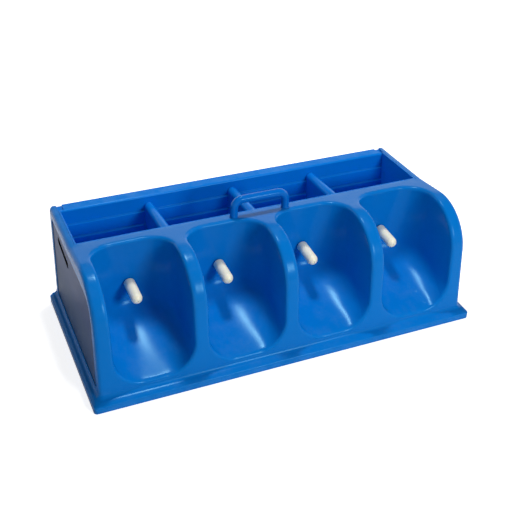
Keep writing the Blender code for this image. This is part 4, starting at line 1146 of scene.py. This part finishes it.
def screw_head_tree():
    """Countersunk heads with a cross recess, one at each point of the object."""
    net, start, end = geometry_tree("countersunk screws", [("Head radius", "NodeSocketFloat", 0.0035),
                                                           ("Shank radius", "NodeSocketFloat", 0.00175),
                                                           ("Length", "NodeSocketFloat", 0.0102),
                                                           ("Material", "NodeSocketMaterial", None)])
    head = net.add("GeometryNodeMeshCone", fill_type="NGON")
    head.inputs["Vertices"].default_value = SCREW_SIDES
    head.inputs["Depth"].default_value = SCREW_HEAD_HEIGHT
    net.wire(start, "Head radius", head, "Radius Bottom")
    net.wire(start, "Shank radius", head, "Radius Top")
    bar = net.add("GeometryNodeMeshCube")
    bar.inputs["Size"].default_value = SCREW_RECESS
    turned = net.add("GeometryNodeTransform")
    turned.inputs["Rotation"].default_value = (0.0, 0.0, pi / 2)
    net.wire(bar, "Mesh", turned, "Geometry")
    recess = net.add("GeometryNodeMeshBoolean", operation="DIFFERENCE", solver="EXACT")
    net.link(head.outputs["Mesh"], recess.inputs[0])
    net.link(bar.outputs["Mesh"], recess.inputs[1])
    net.link(turned.outputs["Geometry"], recess.inputs[1])
    shank = net.add("GeometryNodeMeshCylinder", fill_type="NGON")
    shank.inputs["Vertices"].default_value = SCREW_SHANK_SIDES
    net.wire(start, "Shank radius", shank, "Radius")
    net.wire(start, "Length", shank, "Depth")
    lift = net.add("ShaderNodeCombineXYZ")
    half = net.math("MULTIPLY", start.outputs["Length"], 0.5)
    net.link(net.math("ADD", half, SCREW_SHANK_START), lift.inputs["Z"])
    raised = net.add("GeometryNodeTransform")
    net.wire(shank, "Mesh", raised, "Geometry")
    net.wire(lift, "Vector", raised, "Translation")
    both = net.add("GeometryNodeJoinGeometry")
    net.wire(recess, "Mesh", both, "Geometry")
    net.wire(raised, "Geometry", both, "Geometry")
    spread = net.add("GeometryNodeInstanceOnPoints")
    net.wire(start, "Geometry", spread, "Points")
    net.wire(both, "Geometry", spread, "Instance")
    real = net.add("GeometryNodeRealizeInstances")
    colour = net.add("GeometryNodeSetMaterial")
    net.wire(spread, "Instances", real, "Geometry")
    net.wire(real, "Geometry", colour, "Geometry")
    net.wire(start, "Material", colour, "Material")
    net.wire(colour, "Geometry", end, "Geometry")
    return net.tree


def make_screws():
    """The base plate's screws, one at each of the solids' places."""
    nodes = sorted(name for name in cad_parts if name.startswith("base_screw_"))
    bm = bmesh.new()
    for name in nodes:
        low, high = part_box(name)
        bm.verts.new(((low.x + high.x) / 2, (low.y + high.y) / 2, low.z))
    made = add_piece("base_screws", bm, stainless(), ROOT)
    low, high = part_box(nodes[0])
    apply_tree(made, screw_head_tree(), {"Length": high.z - low.z - SCREW_SHORTER, "Material": stainless()})
    smooth(made.data, 35.0)
    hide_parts(*nodes)
    return made


def dress(node, material):
    """Gives a solid that stays in sight its finish."""
    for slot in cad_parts[node].material_slots:
        slot.material = material


# The studio

FLOOR_REACH = 9.0
BACKDROP_BEND = 2.0
BACKDROP_TOP = 5.0
GLOW_NEAR = 0.30
GLOW_FAR = 0.90
NEAR_GLOW = 0.75
NEAR_GLOW_MIRRORED = 0.15
BEND_STEPS = 8
FLOOR_SIDES = 64
FILM_WIDTH = 36.0
TARGET = Vector((0.0, 0.0, 0.08))
# Where each light stands, seen from the target, with its distance and its width in metres
TOP_LIGHT = (Vector((0.05, 0.20, 0.978)), 1.3, 0.17)
FRONT_LIGHT = (Vector((0.28, -0.85, 0.45)), 1.7, 0.42)


def area_light(name, stand, power):
    """A square lamp that looks at the target."""
    way, distance, width = stand
    data = bpy.data.lights.new(name, "AREA")
    data.shape = "RECTANGLE"
    data.size = width
    data.size_y = width
    data.energy = power
    made = show(name, data)
    made.location = TARGET + way * distance
    made.rotation_euler = (TARGET - made.location).to_track_quat("-Z", "Y").to_euler()


def white_room(strength):
    """An even white sky, for light only: the camera sees the floor and its backdrop."""
    world = bpy.data.worlds.new("white room")
    world.use_nodes = True
    lit = world.node_tree.nodes["Background"]
    lit.inputs["Color"].default_value = (1.0, 1.0, 1.0, 1.0)
    lit.inputs["Strength"].default_value = strength
    bpy.context.scene.world = world


def floor_finish():
    """A white floor that glows a little for the eye, so that it is white all round and keeps the shadows."""
    made = bpy.data.materials.new("studio floor")
    made.use_nodes = True
    net = Net(made.node_tree)
    shader = made.node_tree.nodes["Principled BSDF"]
    place = net.add("ShaderNodeTexCoord").outputs["Object"]
    tone = net.ramp(net.noise(place, 3.0), 0.0, 1.0, 0.92, 0.95)
    colour = net.add("ShaderNodeCombineColor")
    for channel in ("Red", "Green", "Blue"):
        net.link(tone, colour.inputs[channel])
    net.wire(colour, "Color", shader, "Base Color")
    shader.inputs["Roughness"].default_value = 0.9
    shader.inputs["Specular IOR Level"].default_value = 0.1
    away = net.add("ShaderNodeVectorMath", operation="LENGTH")
    net.link(place, away.inputs[0])
    seen = net.ramp(away.outputs["Value"], GLOW_NEAR, GLOW_FAR, NEAR_GLOW, 1.0)
    mirrored = net.ramp(away.outputs["Value"], GLOW_NEAR, GLOW_FAR, NEAR_GLOW_MIRRORED, 1.0)
    path = net.add("ShaderNodeLightPath")
    bent = net.math("MAXIMUM", path.outputs["Is Glossy Ray"], path.outputs["Is Transmission Ray"])
    glow = net.math("ADD", net.math("MULTIPLY", seen, path.outputs["Is Camera Ray"]),
                    net.math("MULTIPLY", mirrored, bent))
    shader.inputs["Emission Color"].default_value = (1.0, 1.0, 1.0, 1.0)
    net.link(glow, shader.inputs["Emission Strength"])
    return made


def make_floor():
    """A round floor whose rim bends up into a backdrop."""
    bm = bmesh.new()
    profile = [Vector((0.0, 0.0, 0.0)), Vector((FLOOR_REACH, 0.0, 0.0))]
    for j in range(1, BEND_STEPS + 1):
        angle = pi / 2 * j / BEND_STEPS
        out = FLOOR_REACH + BACKDROP_BEND * sin(angle)
        profile.append(Vector((out, 0.0, BACKDROP_BEND * (1 - cos(angle)))))
    profile.append(Vector((FLOOR_REACH + BACKDROP_BEND, 0.0, BACKDROP_TOP)))
    line = [bm.verts.new(point) for point in profile]
    edges = [bm.edges.new(pair) for pair in zip(line, line[1:])]
    bmesh.ops.spin(bm, geom=line + edges, cent=(0.0, 0.0, 0.0), axis=(0.0, 0.0, 1.0), angle=2 * pi,
                   steps=FLOOR_SIDES)
    bmesh.ops.remove_doubles(bm, verts=bm.verts, dist=0.0001)
    turn_outwards(bm)
    show("floor", mesh_from("floor", bm, floor_finish()))


def make_camera(studio):
    data = bpy.data.cameras.new("camera")
    data.sensor_width = FILM_WIDTH
    data.lens = studio.lens
    camera = show("camera", data)
    run = cos(studio.pitch)
    forward = Vector((sin(studio.yaw) * run, cos(studio.yaw) * run, -sin(studio.pitch)))
    level = Vector((cos(studio.yaw), -sin(studio.yaw), 0.0))
    up = level.cross(forward)
    right = cos(studio.roll) * level + sin(studio.roll) * up
    above = -sin(studio.roll) * level + cos(studio.roll) * up
    turn = Matrix((right, above, -forward)).transposed().to_4x4()
    camera.matrix_world = Matrix.Translation(studio.eye) @ turn
    bpy.context.scene.camera = camera


def make_stage(studio):
    """The floor with its upturned backdrop, the lights and the camera."""
    make_floor()
    white_room(studio.sky)
    area_light("top light", TOP_LIGHT, studio.top)
    area_light("front light", FRONT_LIGHT, studio.front)
    make_camera(studio)
    bpy.context.scene.view_settings.view_transform = "Standard"


# Operators, one for each piece or group of like pieces

PANEL_EDGE = 0.0006
BASE_EDGE = 0.0004
VALVE_EDGE = 0.0003


class FEEDER_OT_housing(bpy.types.Operator):
    """Build the smooth housing with its four scoops and its foot flange"""
    bl_idname = "feeder.housing"
    bl_label = "Housing"

    def execute(self, context):
        make_housing(context.scene.feeder_housing.lip)
        make_foot(context.scene.feeder_housing)
        return {"FINISHED"}


class FEEDER_OT_tray(bpy.types.Operator):
    """Build the divided milk tray with soft edges"""
    bl_idname = "feeder.tray"
    bl_label = "Milk tray"

    def execute(self, context):
        made = softened_copy("milk_tray", "tray", tray_painted_light(), context.scene.feeder_housing.soft_edge)
        return {"FINISHED"}


class FEEDER_OT_panels(bpy.types.Operator):
    """Build the two end panels with their slots"""
    bl_idname = "feeder.panels"
    bl_label = "End panels"

    def execute(self, context):
        for side in ("left", "right"):
            made = softened_copy(f"end_panel_{side}", f"panel_{side}", panel_painted_light(), PANEL_EDGE)
        return {"FINISHED"}


class FEEDER_OT_base(bpy.types.Operator):
    """Build the base plate and its countersunk screws"""
    bl_idname = "feeder.base"
    bl_label = "Base"

    def execute(self, context):
        made = softened_copy("base_plate", "base", base_plastic(), BASE_EDGE)
        make_screws()
        return {"FINISHED"}


class FEEDER_OT_handle(bpy.types.Operator):
    """Build the bow handle and finish its washers and nuts"""
    bl_idname = "feeder.handle"
    bl_label = "Handle"

    def execute(self, context):
        make_handle(context.scene.feeder_handle)
        for side in ("left", "right"):
            dress(f"handle_washer_{side}", stainless())
            dress(f"handle_nut_{side}", stainless())
        return {"FINISHED"}


class FEEDER_OT_teats(bpy.types.Operator):
    """Build the four soft teats"""
    bl_idname = "feeder.teats"
    bl_label = "Teats"

    def execute(self, context):
        for number, x in enumerate(scoop_centres(), start=1):
            make_teat(number, x, context.scene.feeder_teat)
        return {"FINISHED"}


class FEEDER_OT_valves(bpy.types.Operator):
    """Finish the valves: bodies, seats, seals and check balls"""
    bl_idname = "feeder.valves"
    bl_label = "Valves"

    def execute(self, context):
        for number in range(1, SCOOPS + 1):
            made = softened_copy(f"valve_body_{number}", f"valve_{number}", nylon(), VALVE_EDGE)
            dress(f"valve_seat_{number}", nylon())
            dress(f"valve_seal_{number}", black_rubber())
            dress(f"check_ball_{number}", ball_plastic())
        return {"FINISHED"}


class FEEDER_OT_stage(bpy.types.Operator):
    """Set up the white floor, the soft lights and the camera"""
    bl_idname = "feeder.stage"
    bl_label = "Studio"

    def execute(self, context):
        make_stage(context.scene.feeder_studio)
        return {"FINISHED"}


OPERATORS = (FEEDER_OT_housing, FEEDER_OT_tray, FEEDER_OT_panels, FEEDER_OT_base, FEEDER_OT_handle,
             FEEDER_OT_teats, FEEDER_OT_valves, FEEDER_OT_stage)
GROUPS = {"feeder_housing": FeederHousing, "feeder_handle": FeederHandle, "feeder_teat": FeederTeat,
          "feeder_finish": FeederFinish, "feeder_studio": FeederStudio}


class FEEDER_PT_sidebar(bpy.types.Panel):
    """Lists the feeder's sizes, colours and pieces"""
    bl_label = "Milk feeder"
    bl_idname = "FEEDER_PT_sidebar"
    bl_space_type = "VIEW_3D"
    bl_region_type = "UI"
    bl_category = "Feeder"

    def draw(self, context):
        for name, group in GROUPS.items():
            box = self.layout.box()
            for key in group.__annotations__:
                box.prop(getattr(context.scene, name), key)
        for operator in OPERATORS:
            self.layout.operator(operator.bl_idname)


def register():
    for group in GROUPS.values():
        bpy.utils.register_class(group)
    for operator in OPERATORS:
        bpy.utils.register_class(operator)
    bpy.utils.register_class(FEEDER_PT_sidebar)
    for name, group in GROUPS.items():
        setattr(bpy.types.Scene, name, PointerProperty(type=group))


def unregister():
    for name in GROUPS:
        delattr(bpy.types.Scene, name)
    bpy.utils.unregister_class(FEEDER_PT_sidebar)
    for operator in reversed(OPERATORS):
        bpy.utils.unregister_class(operator)
    for group in reversed(list(GROUPS.values())):
        bpy.utils.unregister_class(group)


def main():
    register()
    for operator in OPERATORS:
        area, action = operator.bl_idname.split(".")
        getattr(getattr(bpy.ops, area), action)()


if __name__ == "__main__":
    main()
